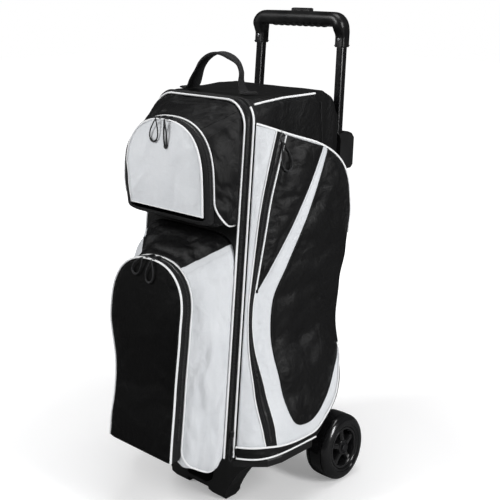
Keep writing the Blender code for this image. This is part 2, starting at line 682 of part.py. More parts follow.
# ------------------------------------------------------------ back of the bag
def channel(z_rows, hw, depth_rows, wall, r=0.014):
    """U-shaped cover open towards the body, run up through its z rows."""
    outer, rings = [], []
    for z, d in zip(z_rows, depth_rows):
        ring = []
        y0 = BACK + GAP
        for w, dd, rr in ((hw, d, r), (hw - wall, d - wall, r - wall)):
            part = [(-w, y0)]
            for i in range(4):
                a = math.radians(180 - 30 * i)
                part.append((-w + rr + rr * math.cos(a), y0 + dd - rr + rr * math.sin(a)))
            for i in range(4):
                a = math.radians(90 - 30 * i)
                part.append((w - rr + rr * math.cos(a), y0 + dd - rr + rr * math.sin(a)))
            part.append((w, y0))
            ring += part if not ring else list(reversed(part))
        rings.append([sh(x, y, z) for x, y in ring])
    return loft(rings)


v, f = channel([0.3005, 0.46, 0.6160], 0.1345, [0.0310, 0.0300, 0.0300], 0.003)
solid("back_panel", v, f, "black_fabric", smooth=40)
v, f = channel([0.1215, 0.20, 0.3000], 0.1352, [0.0385, 0.0370, 0.0320], 0.003)
solid("kick_plate", v, f, "black_plastic", smooth=40)

# collar that the handle tubes enter, with two square throats
rows = [(0.6165, 0.0030), (0.6230, 0.0), (0.6800, 0.0), (0.6890, 0.0040), (0.6920, 0.0090)]
rings = []
for z, i in rows:
    y0, y1, w, r = BACK + GAP, 0.2640 - i, HALF_W - i * 0.8, 0.012
    ring = [(-w, y0), (w, y0)]
    for k in range(5):
        a = math.radians(22.5 * k)
        ring.append((w - r + r * math.cos(a), y1 - r + r * math.sin(a)))
    for k in range(5):
        a = math.radians(90 + 22.5 * k)
        ring.append((-w + r + r * math.cos(a), y1 - r + r * math.sin(a)))
    rings.append([sh(x, y, z) for x, y in ring])
v, f = loft(rings)
bezel = solid("handle_collar", v, f, "black_plastic", smooth=35)


def square(x, half_side, z0, z1, steps=1):
    return [[sh(x + a * half_side, TUBE_Y + b * half_side, z0 + (z1 - z0) * i / steps)
             for a, b in ((-1, -1), (1, -1), (1, 1), (-1, 1))] for i in range(steps + 1)]


def round_square(x, hs, z0, z1, r=0.003):
    rings = []
    for z in (z0, z1):
        ring = []
        for cx, cy, a0 in ((-1, -1, 180), (1, -1, 270), (1, 1, 0), (-1, 1, 90)):
            for k in range(3):
                a = math.radians(a0 + 45 * k)
                ring.append(sh(x + cx * (hs - r) + r * math.cos(a), TUBE_Y + cy * (hs - r) + r * math.sin(a), z))
        rings.append(ring)
    return rings


HS = TUBE_SIDE / 2
for side, tag in ((-1, "left"), (1, "right")):
    x = side * TUBE_X
    v, f = loft(square(x, HS + 0.0024, 0.55, 0.75))
    cut(bezel, solid("throat_" + tag, v, f, "black_plastic", cutter=True), "throat_" + tag)
    v, f = sleeve(round_square(x, HS + 0.0020, 0.1300, 0.6905), round_square(x, HS + 0.0005, 0.1300, 0.6905, 0.002))
    solid("guide_tube_" + tag, v, f, "steel")
    v, f = sleeve(round_square(x, HS, 0.5200, 0.9058), round_square(x, HS - 0.0014, 0.5200, 0.9058, 0.002))
    solid("handle_tube_" + tag, v, f, "black_tube", smooth=50)
    v, f = sleeve([r for r in round_square(x, 0.0125, 0.8745, 0.9060, 0.004)],
                  [r for r in round_square(x, HS + 0.0004, 0.8745, 0.9060, 0.003)])
    solid("grip_socket_" + tag, v, f, "black_plastic", smooth=50)
    # rivet head on the front face of each socket
    n = 10
    zc = 0.891
    y_face = TUBE_Y - 0.0125 - 0.0004
    rr = [[sh(x + q * math.cos(2 * math.pi * k / n), y_face - d, zc + q * math.sin(2 * math.pi * k / n)) for k in range(n)]
          for d, q in ((0.0, 0.0040), (0.0008, 0.0038), (0.0015, 0.0022))]
    v, f = loft(rr)
    solid("grip_rivet_" + tag, v, f, "steel", smooth=40)
    # rod inside each tube that carries the button's push down to the lock
    v, f = loft(square(x, 0.0022, 0.5300, 0.9050))
    solid("lock_rod_" + tag, v, f, "steel")

# grip: bar lofted across, its ends turned down over the sockets
def grip_ring(x, z0, z1, d):
    r = min(0.010, (z1 - z0) * 0.42)
    ring = []
    for cy, cz, a0 in ((-1, 0, 180), (1, 0, 270), (1, 1, 0), (-1, 1, 90)):
        for k in range(4):
            a = math.radians(a0 + 30 * k)
            y = TUBE_Y + cy * (d / 2 - r) + r * math.cos(a)
            z = (z0 + r if cz == 0 else z1 - r) + r * math.sin(a)
            ring.append(sh(x, y, z))
    return ring


stations = [(0.1395, 0.9090, 0.9165, 0.018), (0.1372, 0.9064, 0.9230, 0.025), (0.1310, 0.9064, 0.9320, 0.030),
            (0.1200, 0.9064, 0.9415, 0.032), (0.1040, 0.9064, 0.9480, 0.032), (0.0960, 0.9150, 0.9500, 0.032)]
ribs = 9
for i in range(2 * ribs + 1):
    x = 0.0860 - 2 * 0.0860 * i / (2 * ribs)
    if i <= 2 * ribs:
        stations.append((x, 0.9165 + (0.0025 if i % 2 else 0.0), GRIP_TOP - 0.0000015 / max(0.002, 0.09 - abs(x)), 0.032))
stations = [s for s in stations if s[0] > -0.09]
left = [(-a, b, c, d) for a, b, c, d in stations[:6]]
stations = stations + list(reversed(left))
rings = [grip_ring(*s) for s in stations]
v, f = loft(rings)
grip = solid("grip", v, f, "black_plastic", smooth=45)
# pocket in the crown for the release button
v, f = loft([[sh(x, TUBE_Y + y, z) for x, y in ((-0.0285, -0.0085), (0.0285, -0.0085), (0.0285, 0.0085), (-0.0285, 0.0085))]
             for z in (0.9440, 0.970)])
cut(grip, solid("button_seat", v, f, "black_plastic", cutter=True))
rings = []
for z, i in ((0.9475, 0.0), (0.9550, 0.0), (0.9566, 0.0022)):
    rings.append([sh(x, TUBE_Y + y, z) for x, y in (
        (-0.0255 + i, -0.0078 + i), (0.0255 - i, -0.0078 + i), (0.0280 - i, -0.0050 + i), (0.0280 - i, 0.0050 - i),
        (0.0255 - i, 0.0078 - i), (-0.0255 + i, 0.0078 - i), (-0.0280 + i, 0.0050 - i), (-0.0280 + i, -0.0050 + i))])
v, f = loft(rings)
solid("release_button", v, f, "black_plastic", smooth=40)
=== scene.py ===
"""Looks of a three-ball roller bag, built round its CAD frame."""
import json
import math

import bmesh
import bpy
import numpy as np
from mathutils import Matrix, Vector, noise

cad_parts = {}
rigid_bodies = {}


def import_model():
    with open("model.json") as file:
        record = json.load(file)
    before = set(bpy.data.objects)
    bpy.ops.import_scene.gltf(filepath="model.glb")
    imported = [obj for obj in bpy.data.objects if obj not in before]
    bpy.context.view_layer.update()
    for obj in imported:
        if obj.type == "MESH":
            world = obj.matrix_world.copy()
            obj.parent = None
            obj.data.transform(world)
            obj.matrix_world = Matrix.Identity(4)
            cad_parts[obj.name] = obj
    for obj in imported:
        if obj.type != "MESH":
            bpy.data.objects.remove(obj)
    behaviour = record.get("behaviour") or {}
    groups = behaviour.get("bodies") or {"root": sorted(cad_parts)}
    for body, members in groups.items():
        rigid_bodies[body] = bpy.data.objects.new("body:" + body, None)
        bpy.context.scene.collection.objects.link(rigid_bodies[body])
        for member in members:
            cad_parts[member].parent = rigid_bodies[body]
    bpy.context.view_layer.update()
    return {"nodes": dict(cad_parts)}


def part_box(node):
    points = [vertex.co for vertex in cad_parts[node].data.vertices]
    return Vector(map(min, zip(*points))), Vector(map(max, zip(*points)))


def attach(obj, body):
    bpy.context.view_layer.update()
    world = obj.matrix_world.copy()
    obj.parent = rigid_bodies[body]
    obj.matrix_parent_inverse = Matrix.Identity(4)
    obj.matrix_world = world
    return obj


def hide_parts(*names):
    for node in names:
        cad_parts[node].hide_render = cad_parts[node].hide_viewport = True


for old in list(bpy.data.objects):
    bpy.data.objects.remove(old, do_unlink=True)
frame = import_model()
NODES = frame["nodes"]

# ------------------------------------------------------------ measures from the frame
LEAN = 0.0916
_lo, _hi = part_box("wheel_tyre_right")
WHEEL_C = (_lo + _hi) / 2
WHEEL_R = (_hi.z - _lo.z) / 2
S = WHEEL_C.y - 0.218                      # Y of the frame's front feet line
_lo, _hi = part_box("main_shell")
HALF_W, BODY_TOP, BODY_BOTTOM = _hi.x, _hi.z, _lo.z
RIM, BACK = -0.0655, 0.2097
DOOR_FRONT, DOOR_BACK = -0.0810, -0.0732
ANG = math.atan(LEAN)
UP = np.array([0, math.sin(ANG), math.cos(ANG)])
OUT = np.array([0, -math.cos(ANG), math.sin(ANG)])
EX = np.array([1.0, 0, 0])


def sh(x, yl, z):
    return np.array([x, yl + LEAN * z + S, z], float)


def smooth(x):
    x = np.clip(x, 0, 1)
    return x * x * (3 - 2 * x)


def spline(tab):
    """Smooth function through (t, value) rows."""
    t = np.array([a for a, _ in tab], float)
    v = np.array([b for _, b in tab], float)
    d = np.gradient(v, t)

    def f(x):
        x = np.clip(np.asarray(x, float), t[0], t[-1])
        k = np.clip(np.searchsorted(t, x, side="right") - 1, 0, len(t) - 2)
        h = t[k + 1] - t[k]
        s = (x - t[k]) / h
        return ((2 * s ** 3 - 3 * s ** 2 + 1) * v[k] + (s ** 3 - 2 * s ** 2 + s) * h * d[k]
                + (-2 * s ** 3 + 3 * s ** 2) * v[k + 1] + (s ** 3 - s ** 2) * h * d[k + 1])
    return f


def lens(p):
    p = np.asarray(p, float)
    return np.concatenate([[0], np.cumsum(np.linalg.norm(np.diff(p, axis=0), axis=1))])


def walk(p, n):
    """n points spaced evenly along a polyline."""
    p = np.asarray(p, float)
    s = lens(p)
    t = np.linspace(0, s[-1], n)
    return np.stack([np.interp(t, s, p[:, c]) for c in range(p.shape[1])], 1)


def curve(p, n):
    """Smooth curve through points, n points spaced evenly."""
    p = np.asarray(p, float)
    s = lens(p)
    t = np.linspace(0, s[-1], max(200, n * 3))
    q = np.stack([spline(list(zip(s, p[:, c])))(t) for c in range(p.shape[1])], 1)
    return walk(q, n)


def eased(tab):
    t = np.array([a for a, _ in tab], float)
    v = np.array([b for _, b in tab], float)

    def f(x):
        x = np.clip(np.asarray(x, float), t[0], t[-1])
        k = np.clip(np.searchsorted(t, x, side="right") - 1, 0, len(t) - 2)
        s = smooth((x - t[k]) / (t[k + 1] - t[k]))
        return v[k] + (v[k + 1] - v[k]) * s
    return f


def unit(a):
    a = np.asarray(a, float)
    return a / np.maximum(np.linalg.norm(a, axis=-1, keepdims=True), 1e-12)


def fbm(p, scale, seed=0.0, octaves=2):
    out, a, f = 0.0, 1.0, scale
    for _ in range(octaves):
        out += a * noise.noise(Vector((p[0] * f + seed, p[1] * f - seed, p[2] * f + 2 * seed)))
        a *= 0.5
        f *= 2.1
    return out


# ------------------------------------------------------------ materials
class Mat:
    """Small helper round a node tree."""

    def __init__(self, name):
        self.m = bpy.data.materials.new(name)
        self.m.use_nodes = True
        self.nt = self.m.node_tree
        self.b = self.nt.nodes["Principled BSDF"]

    def n(self, kind, **kw):
        x = self.nt.nodes.new(kind)
        for k, v in kw.items():
            setattr(x, k, v)
        return x

    def put(self, socket, v):
        if isinstance(v, bpy.types.NodeSocket):
            self.nt.links.new(v, socket)
        else:
            socket.default_value = v

    def math(self, op, a, b=None, clamp=False):
        x = self.n("ShaderNodeMath", operation=op, use_clamp=clamp)
        self.put(x.inputs[0], a)
        if b is not None:
            self.put(x.inputs[1], b)
        return x.outputs[0]

    def coord(self, kind):
        return self.n("ShaderNodeTexCoord").outputs[kind]

    def noise(self, vec, scale, detail=3.0, rough=0.5, warp=0.0):
        x = self.n("ShaderNodeTexNoise")
        x.inputs["Distortion"].default_value = warp
        x.inputs["Scale"].default_value = scale
        x.inputs["Detail"].default_value = detail
        x.inputs["Roughness"].default_value = rough
        self.put(x.inputs["Vector"], vec)
        return x.outputs["Fac"]

    def ramp(self, fac, lo, hi, a, b):
        """a below lo, b above hi."""
        x = self.n("ShaderNodeMapRange")
        self.put(x.inputs["Value"], fac)
        x.inputs["From Min"].default_value = lo
        x.inputs["From Max"].default_value = hi
        x.inputs["To Min"].default_value = a
        x.inputs["To Max"].default_value = b
        return x.outputs["Result"]

    def mix(self, fac, a, b):
        x = self.n("ShaderNodeMix", data_type="RGBA")
        self.put(x.inputs["Factor"], fac)
        self.put(x.inputs["A"], a if isinstance(a, bpy.types.NodeSocket) else (*a, 1))
        self.put(x.inputs["B"], b if isinstance(b, bpy.types.NodeSocket) else (*b, 1))
        return x.outputs["Result"]

    def bump(self, height, distance, strength=1.0, normal=None):
        x = self.n("ShaderNodeBump")
        x.inputs["Distance"].default_value = distance
        x.inputs["Strength"].default_value = strength
        self.put(x.inputs["Height"], height)
        if normal is not None:
            self.put(x.inputs["Normal"], normal)
        return x.outputs["Normal"]

    def xyz(self, vec):
        x = self.n("ShaderNodeSeparateXYZ")
        self.put(x.inputs[0], vec)
        return x.outputs


def fabric(name, light, dark, pitch=0.0012, bump=0.00016, rough=0.62, spec=0.5, sheen=0.25, dots=None, ribs=None,
           blotch=0.10, mapped=True):
    """Woven cloth: over-and-under yarns, yarn noise, faint wear, and for the
    white cloth a lattice of small dimples (dots = pitch).  With mapped, the
    weave follows the piece's UV map, which is in metres."""
    M = Mat(name)
    uv = M.coord("UV") if mapped else M.coord("Object")
    obj = M.coord("Object")
    x = M.xyz(uv)
    if mapped:
        u, v = x[0], x[1]
    else:
        u = M.math("ADD", x[0], x[1])
        v = x[2]
    k = 2 * math.pi / pitch
    su = M.math("SINE", M.math("MULTIPLY", u, k))
    sv = M.math("SINE", M.math("MULTIPLY", v, k))
    weave = M.math("MULTIPLY", su, sv)
    yarn = M.noise(obj, 1500, 2.0)
    h = M.math("ADD", M.math("MULTIPLY", weave, 0.5), M.math("MULTIPLY", yarn, 0.9))
    if ribs:
        r = M.math("SINE", M.math("MULTIPLY", v if ribs > 0 else u, 2 * math.pi / abs(ribs)))
        h = M.math("ADD", h, M.math("MULTIPLY", r, 1.1))
    big = M.noise(obj, 9, 4.0, 0.6)
    fine = M.noise(obj, 420, 2.0)
    f = M.math("ADD", M.ramp(big, 0.3, 0.7, -blotch, blotch), M.ramp(fine, 0.3, 0.7, -0.10, 0.10))
    f = M.math("ADD", f, M.ramp(weave, -1, 1, -0.16, 0.16))
    f = M.math("ADD", f, 0.5, clamp=True)
    col = M.mix(f, dark, light)
    if dots:
        kd = math.pi / dots
        a = M.math("SINE", M.math("MULTIPLY", M.math("ADD", u, v), kd))
        b = M.math("SINE", M.math("MULTIPLY", M.math("SUBTRACT", u, v), kd))
        d = M.math("MULTIPLY", a, b)
        d = M.ramp(M.math("ABSOLUTE", d), 0.45, 0.80, 0.0, 1.0)
        col = M.mix(M.math("MULTIPLY", d, 0.24), col, tuple(c * 0.80 for c in dark))
        h = M.math("SUBTRACT", h, M.math("MULTIPLY", d, 1.4))
    M.put(M.b.inputs["Base Color"], col)
    M.put(M.b.inputs["Roughness"], M.ramp(fine, 0.3, 0.7, rough - 0.07, rough + 0.07))
    M.put(M.b.inputs["Specular IOR Level"], spec)
    M.b.inputs["Sheen Weight"].default_value = sheen
    M.b.inputs["Sheen Roughness"].default_value = 0.45
    crease = M.noise(obj, 34, 3.0, 0.55, 0.8)
    n1 = M.bump(crease, 0.0042, 0.60)
    M.put(M.b.inputs["Normal"], M.bump(h, bump, 0.75, n1))
    M.m.diffuse_color = (*light, 1)
    return M.m


def plastic(name, color, rough=0.42, grain=900, depth=0.00010, coat=0.0, wear=0.04, spec=0.5):
    """Moulded plastic: fine grain, faint scuffs, slightly paler edges."""
    M = Mat(name)
    obj = M.coord("Object")
    g = M.noise(obj, grain, 2.0)
    scuff = M.noise(obj, 26, 5.0, 0.65)
    edge = M.n("ShaderNodeNewGeometry").outputs["Pointiness"]
    e = M.ramp(edge, 0.52, 0.60, 0.0, 1.0)
    c1 = M.mix(M.ramp(scuff, 0.35, 0.75, 0.0, 1.0), tuple(c * 0.85 for c in color), tuple(c * 1.25 + 0.002 for c in color))
    c2 = M.mix(M.math("MULTIPLY", e, 0.5), c1, tuple(c + wear for c in color))
    M.put(M.b.inputs["Base Color"], c2)
    M.put(M.b.inputs["Roughness"], M.ramp(scuff, 0.3, 0.75, rough - 0.06, rough + 0.12))
    M.put(M.b.inputs["Specular IOR Level"], spec)
    M.b.inputs["Coat Weight"].default_value = coat
    M.b.inputs["Coat Roughness"].default_value = 0.12
    M.put(M.b.inputs["Normal"], M.bump(g, depth, 0.6, M.bump(scuff, 0.0004, 0.15)))
    M.m.diffuse_color = (*color, 1)
    return M.m


def metal(name, color, rough=0.3, brush=(300, 300, 14), metallic=1.0, coat=0.0):
    """Drawn or painted metal with fine lines along its length."""
    M = Mat(name)
    obj = M.coord("Object")
    mp = M.n("ShaderNodeMapping")
    M.put(mp.inputs["Vector"], obj)
    mp.inputs["Scale"].default_value = brush
    lines = M.noise(mp.outputs["Vector"], 3.0, 3.0)
    scuff = M.noise(obj, 34, 4.0, 0.6)
    col = M.mix(M.ramp(scuff, 0.35, 0.7, 0.0, 1.0), tuple(c * 0.88 for c in color), tuple(min(1, c * 1.1) for c in color))
    M.put(M.b.inputs["Base Color"], col)
    M.b.inputs["Metallic"].default_value = metallic
    M.put(M.b.inputs["Roughness"], M.ramp(lines, 0.3, 0.7, rough - 0.06, rough + 0.08))
    M.b.inputs["Coat Weight"].default_value = coat
    M.b.inputs["Coat Roughness"].default_value = 0.10
    M.put(M.b.inputs["Normal"], M.bump(lines, 0.00004, 0.5))
    M.m.diffuse_color = (*color, 1)
    return M.m


BLACK = fabric("black_weave", (0.0078, 0.0078, 0.0082), (0.0022, 0.0022, 0.0024), pitch=0.0013, rough=0.42, spec=0.24, sheen=0.0)
BLACK_DEEP = fabric("black_weave_flap", (0.0045, 0.0045, 0.0047), (0.0015, 0.0015, 0.0016), pitch=0.0013, rough=0.55, spec=0.10,
                    sheen=0.0)
LINING = fabric("lining_weave", (0.030, 0.030, 0.032), (0.016, 0.016, 0.017), pitch=0.0009, rough=0.75, spec=0.2, sheen=0.05)
WHITE = fabric("white_weave", (0.72, 0.735, 0.755), (0.55, 0.57, 0.595), pitch=0.0013, rough=0.60, spec=0.45, sheen=0.1,
               dots=0.0030, blotch=0.22)
PIPING = fabric("white_piping", (0.88, 0.885, 0.89), (0.70, 0.71, 0.72), pitch=0.0010, bump=0.00012, rough=0.5, blotch=0.05)
BIND = fabric("black_binding", (0.018, 0.018, 0.019), (0.007, 0.007, 0.0075), pitch=0.0012, ribs=0.0016, rough=0.6, spec=0.3,
              sheen=0.05)
TAPE = fabric("zip_tape_weave", (0.012, 0.012, 0.013), (0.004, 0.004, 0.0045), pitch=0.0008, ribs=-0.0014, rough=0.62, spec=0.22,
              sheen=0.03)
WEB = fabric("webbing_weave", (0.018, 0.018, 0.019), (0.006, 0.006, 0.0065), pitch=0.0022, bump=0.0004, ribs=-0.0030, rough=0.6,
             spec=0.3, sheen=0.05)
COIL = plastic("zip_coil_nylon", (0.012, 0.012, 0.013), rough=0.30, grain=1500, depth=0.00003, spec=0.6)
THREAD_B = fabric("black_thread", (0.034, 0.034, 0.036), (0.014, 0.014, 0.015), pitch=0.0006, rough=0.5, spec=0.35, sheen=0.05,
                  mapped=False)
THREAD_W = fabric("grey_thread", (0.62, 0.63, 0.65), (0.45, 0.46, 0.48), pitch=0.0006, rough=0.5, mapped=False)
FOAM = fabric("foam_cover", (0.10, 0.10, 0.11), (0.06, 0.06, 0.065), pitch=0.0016, rough=0.85, mapped=False)
PLASTIC = plastic("moulded_black", (0.006, 0.006, 0.0063), rough=0.36, wear=0.008, spec=0.35)
GRIP = plastic("grip_soft", (0.005, 0.005, 0.0053), rough=0.34, grain=1400, depth=0.00010, wear=0.006, spec=0.4)
BUTTON = plastic("button_satin", (0.008, 0.008, 0.0085), rough=0.28, grain=1600, depth=0.00005, wear=0.015)
BOARD = plastic("board_pressed", (0.05, 0.05, 0.055), rough=0.7, grain=500, depth=0.0002)
HUB = plastic("hub_gloss", (0.006, 0.006, 0.0065), rough=0.18, grain=700, depth=0.00003, coat=0.5, wear=0.010)
TREAD = plastic("wheel_polyurethane", (0.005, 0.005, 0.0055), rough=0.18, grain=500, depth=0.00004, coat=0.45, wear=0.006)
TUBE = metal("tube_black_paint", (0.005, 0.005, 0.0055), rough=0.22, metallic=0.0, coat=0.15)
STEEL = metal("steel_plain", (0.45, 0.46, 0.48), rough=0.36)
BRIGHT = metal("steel_bright", (0.62, 0.63, 0.65), rough=0.22)
DARKMETAL = metal("steel_black_oxide", (0.050, 0.050, 0.053), rough=0.34, metallic=0.8)
ZIPMETAL = metal("zip_black_metal", (0.030, 0.030, 0.032), rough=0.30, metallic=0.7)
CORD = fabric("cord_braid", (0.022, 0.022, 0.024), (0.007, 0.007, 0.008), pitch=0.0012, bump=0.0003, rough=0.5, spec=0.4,
              sheen=0.05, mapped=False)


# ------------------------------------------------------------ mesh helpers
PIECES = []


def make(name, verts, faces, mat, body, slot=None, uv=None, smooth_angle=40, mats=None, face_mat=None, replaces=(),
         thick=0.0, weld=False, recalc=True):
    me = bpy.data.meshes.new(name)
    me.from_pydata([tuple(map(float, v)) for v in verts], [], [tuple(int(i) for i in f) for f in faces])
    for m in (mats or [mat]):
        me.materials.append(m)
    if face_mat is not None:
        me.polygons.foreach_set("material_index", np.asarray(face_mat, np.int32))
    if uv is not None:
        layer = me.uv_layers.new(name="UVMap")
        idx = np.zeros(len(me.loops), np.int32)
        me.loops.foreach_get("vertex_index", idx)
        layer.data.foreach_set("uv", np.asarray(uv, np.float32)[idx].ravel())
    if weld or recalc:
        bm = bmesh.new()
        bm.from_mesh(me)
        if weld:
            bmesh.ops.remove_doubles(bm, verts=bm.verts[:], dist=2e-5)
        if recalc:
            bmesh.ops.recalc_face_normals(bm, faces=bm.faces[:])
        bm.to_mesh(me)
        bm.free()
    me.shade_smooth()
    if smooth_angle:
        me.set_sharp_from_angle(angle=math.radians(smooth_angle))
    o = bpy.data.objects.new(name, me)
    bpy.context.scene.collection.objects.link(o)
    if thick:
        s = o.modifiers.new("thickness", "SOLIDIFY")
        s.thickness = thick
        s.offset = -1
    o["body"] = body
    PIECES.append((o, body, slot, tuple(replaces)))
    return o


def grid_faces(nr, nc, flip=False):
    f = []
    for j in range(nr - 1):
        for i in range(nc - 1):
            a = j * nc + i
            q = (a, a + 1, a + 1 + nc, a + nc)
            f.append(q[::-1] if flip else q)
    return f


def grid_uv(P):
    """UV in metres from the mean lengths along a grid's rows and columns."""
    nr, nc = P.shape[:2]
    du = np.linalg.norm(np.diff(P, axis=1), axis=2)
    dv = np.linalg.norm(np.diff(P, axis=0), axis=2)
    u = np.concatenate([np.zeros((nr, 1)), np.cumsum(du, 1)], 1)
    u = u - u[:, nc // 2:nc // 2 + 1]
    v = np.concatenate([np.zeros((1, nc)), np.cumsum(dv, 0)], 0)
    v = np.repeat(v[:, nc // 2:nc // 2 + 1], nc, 1)
    return np.stack([u, v], 2).reshape(-1, 2)


def sheet(name, P, mat, body, slot=None, want=None, thick=0.0, uv=None, **kw):
    """Grid of points as a piece.  want is the direction its faces look."""
    P = np.asarray(P, float)
    nr, nc = P.shape[:2]
    flip = False
    if want is not None:
        a, b = P[nr // 2, nc // 2], P[nr // 2, min(nc // 2 + 1, nc - 1)]
        c = P[min(nr // 2 + 1, nr - 1), nc // 2]
        flip = np.dot(np.cross(b - a, c - a), np.asarray(want(a) if callable(want) else want)) < 0
    return make(name, P.reshape(-1, 3), grid_faces(nr, nc, flip), mat, body, slot, grid_uv(P) if uv is None else uv,
                thick=thick, recalc=want is None, **kw)


def tube(name, pts, r, mat, body, slot=None, closed=False, n=8, squash=1.0, up=None):
    """Round cord along a path."""
    p = np.asarray(pts, float)
    m = len(p)
    if closed:
        t = unit(np.roll(p, -1, 0) - np.roll(p, 1, 0))
    else:
        t = unit(np.gradient(p, axis=0))
    ref = np.array([0, 0, 1.0]) if abs(t[0][2]) < 0.9 else EX
    a = unit(np.cross(t[0], ref if up is None else up))
    rings, s = [], lens(p)
    for k in range(m):
        a = unit(a - t[k] * np.dot(a, t[k]))
        b = np.cross(t[k], a)
        rings.append([p[k] + r * (a * math.cos(2 * math.pi * i / n) + squash * b * math.sin(2 * math.pi * i / n))
                      for i in range(n)])
    v = [x for ring in rings for x in ring]
    uv = [(2 * math.pi * r * i / n, s[k]) for k in range(m) for i in range(n)]
    f = []
    for k in range(m if closed else m - 1):
        for i in range(n):
            j, q = (i + 1) % n, (k + 1) % m
            f.append((k * n + i, k * n + j, q * n + j, q * n + i))
    if not closed:
        f += [tuple(range(n))[::-1], tuple(range((m - 1) * n, m * n))]
    return make(name, v, f, mat, body, slot, uv, smooth_angle=60)


def beads(name, pts, nrm, pitch, size, mat, body, slot=None, lift=0.0, zig=0.0, turn=0.0, taper=0.7):
    """Row of small blocks along a path: zip teeth or stitches.
    size is (along the path, across it, off the cloth)."""
    p = np.asarray(pts, float)
    s = lens(p)
    k = max(2, int(s[-1] / pitch))
    q = walk(p, k)
    nn = np.asarray(nrm, float)
    if nn.ndim == 1:
        nn = np.repeat(nn[None], len(p), 0)
    nq = unit(np.stack([np.interp(np.linspace(0, s[-1], k), s, nn[:, c]) for c in range(3)], 1))
    t = unit(np.gradient(q, axis=0))
    v, f = [], []
    for i in range(k):
        side = np.cross(t[i], nq[i])
        c = q[i] + nq[i] * lift + side * (zig if i % 2 else -zig)
        tt = t[i] * math.cos(turn) + side * math.sin(turn)
        ss = np.cross(nq[i], tt)
        b = len(v)
        for h, w in ((0, 1.0), (size[2], taper)):
            for x, y in ((-1, -1), (1, -1), (1, 1), (-1, 1)):
                v.append(c + tt * x * size[0] / 2 * w + ss * y * size[1] / 2 * w + nq[i] * h)
        f += [(b, b + 1, b + 5, b + 4), (b + 1, b + 2, b + 6, b + 5), (b + 2, b + 3, b + 7, b + 6),
              (b + 3, b, b + 4, b + 7), (b + 4, b + 5, b + 6, b + 7), (b + 3, b + 2, b + 1, b)]
    return make(name, v, f, mat, body, slot, smooth_angle=30, recalc=True)


# ------------------------------------------------------------ cloth
SIMS = []


def cloth(obj, free, pressure=3.0, grow=0.012, cap=0.006, bend=0.6):
    """Queues a patch for the cloth run: free is 0 at its sewn edges."""
    SIMS.append((obj, np.asarray(free, float), pressure, grow, cap, bend))


def coords(mesh):
    c = np.zeros(len(mesh.vertices) * 3, np.float32)
    mesh.vertices.foreach_get("co", c)
    return c.reshape(-1, 3).astype(float)


def run_cloth(frames=16):
    """Runs every queued patch at once, then keeps the result as its mesh."""
    if not SIMS:
        return
    scene = bpy.context.scene
    scene.frame_start, scene.frame_end = 1, frames
    hidden = []
    live = {o.name for o, *_ in SIMS}
    for o in scene.objects:
        if o.type == "MESH" and o.name not in live and not o.hide_viewport:
            o.hide_viewport = True
            hidden.append(o)
    parked = []
    for obj, free, pressure, grow, cap, bend in SIMS:
        for m in list(obj.modifiers):
            if m.type == "SOLIDIFY":
                parked.append((obj, m.thickness))
                obj.modifiers.remove(m)
        g = obj.vertex_groups.new(name="sewn")
        for i, w in enumerate(free):
            g.add([i], float(1 - w), "REPLACE")
        c = obj.modifiers.new("cloth", "CLOTH")
        st = c.settings
        st.quality = 6
        st.mass = 0.12
        st.vertex_group_mass = "sewn"
        st.tension_stiffness = st.compression_stiffness = 20
        st.shear_stiffness = 8
        st.bending_stiffness = bend
        st.air_damping = 2.0
        st.pin_stiffness = 5.0
        st.shrink_min = -grow
        st.use_pressure = True
        st.uniform_pressure_force = pressure
        st.effector_weights.gravity = 0
        c.collision_settings.use_collision = False
        c.collision_settings.use_self_collision = False
        c.point_cache.frame_start, c.point_cache.frame_end = 1, frames
    for k in range(1, frames + 1):
        scene.frame_set(k)
    dg = bpy.context.evaluated_depsgraph_get()
    for obj, free, pressure, grow, cap, bend in SIMS:
        e = obj.evaluated_get(dg)
        new = coords(e.data)
        old = coords(obj.data)
        d = new - old
        m = np.linalg.norm(d, axis=1)
        k = np.where(m > 1e-9, cap * np.tanh(m / cap) / np.maximum(m, 1e-9), 1.0)
        obj["moved_mm"] = float(m.max() * 1000)
        old += d * (k * free ** 0.5)[:, None]
        obj.modifiers.remove(obj.modifiers["cloth"])
        obj.vertex_groups.clear()
        obj.data.vertices.foreach_set("co", old.astype(np.float32).ravel())
        obj.data.update()
        print("cloth", obj.name, "moved up to %.1f mm" % (m.max() * 1000))
    for obj, th in parked:
        s = obj.modifiers.new("thickness", "SOLIDIFY")
        s.thickness = th
        s.offset = -1
    for o in hidden:
        o.hide_viewport = False
    scene.frame_set(1)


def seam_free(P, seams, width=0.006):
    """1 away from the seams, 0 on them, for points P and polylines seams."""
    P = np.asarray(P, float)
    d = np.full(len(P), 1e9)
    for s in seams:
        s = np.asarray(s, float)
        for a, b in zip(s[:-1], s[1:]):
            ab = b - a
            t = np.clip(((P - a) @ ab) / max(ab @ ab, 1e-12), 0, 1)
            d = np.minimum(d, np.linalg.norm(P - (a + t[:, None] * ab), axis=1))
    return smooth((d - width * 0.35) / width), d


# ------------------------------------------------------------ side pockets
BULGE = eased([(.12, .052), (.16, .050), (.24, .036), (.33, .024), (.40, .028), (.465, .038), (.56, .047), (.65, .052),
               (.75, .052)])
RISE = eased([(.12, .024), (.16, .026), (.24, .035), (.35, .050), (.45, .060), (.60, .070), (.75, .075)])


def side_x(y, z):
    s = np.maximum(0.0, y - (-0.063 + LEAN * z))
    return 0.1445 + BULGE(z) * (1 - np.exp(-s / RISE(z)))


REAR_PTS = [(.1200, .1212), (.145, .1390), (.168, .1575), (.196, .1850), (.213, .215), (.2165, .250), (.217, .30),
            (.226, .40), (.2375, .50), (.2385, .56), (.2290, .6111), (.2077, .6499), (.1803, .6740), (.1513, .6904),
            (.0660, .7205), (.0056, .7440)]
_r = curve(REAR_PTS, 400)
_r[:, 1] = np.maximum.accumulate(_r[:, 1])
Z0, Z1 = 0.1212, 0.7440


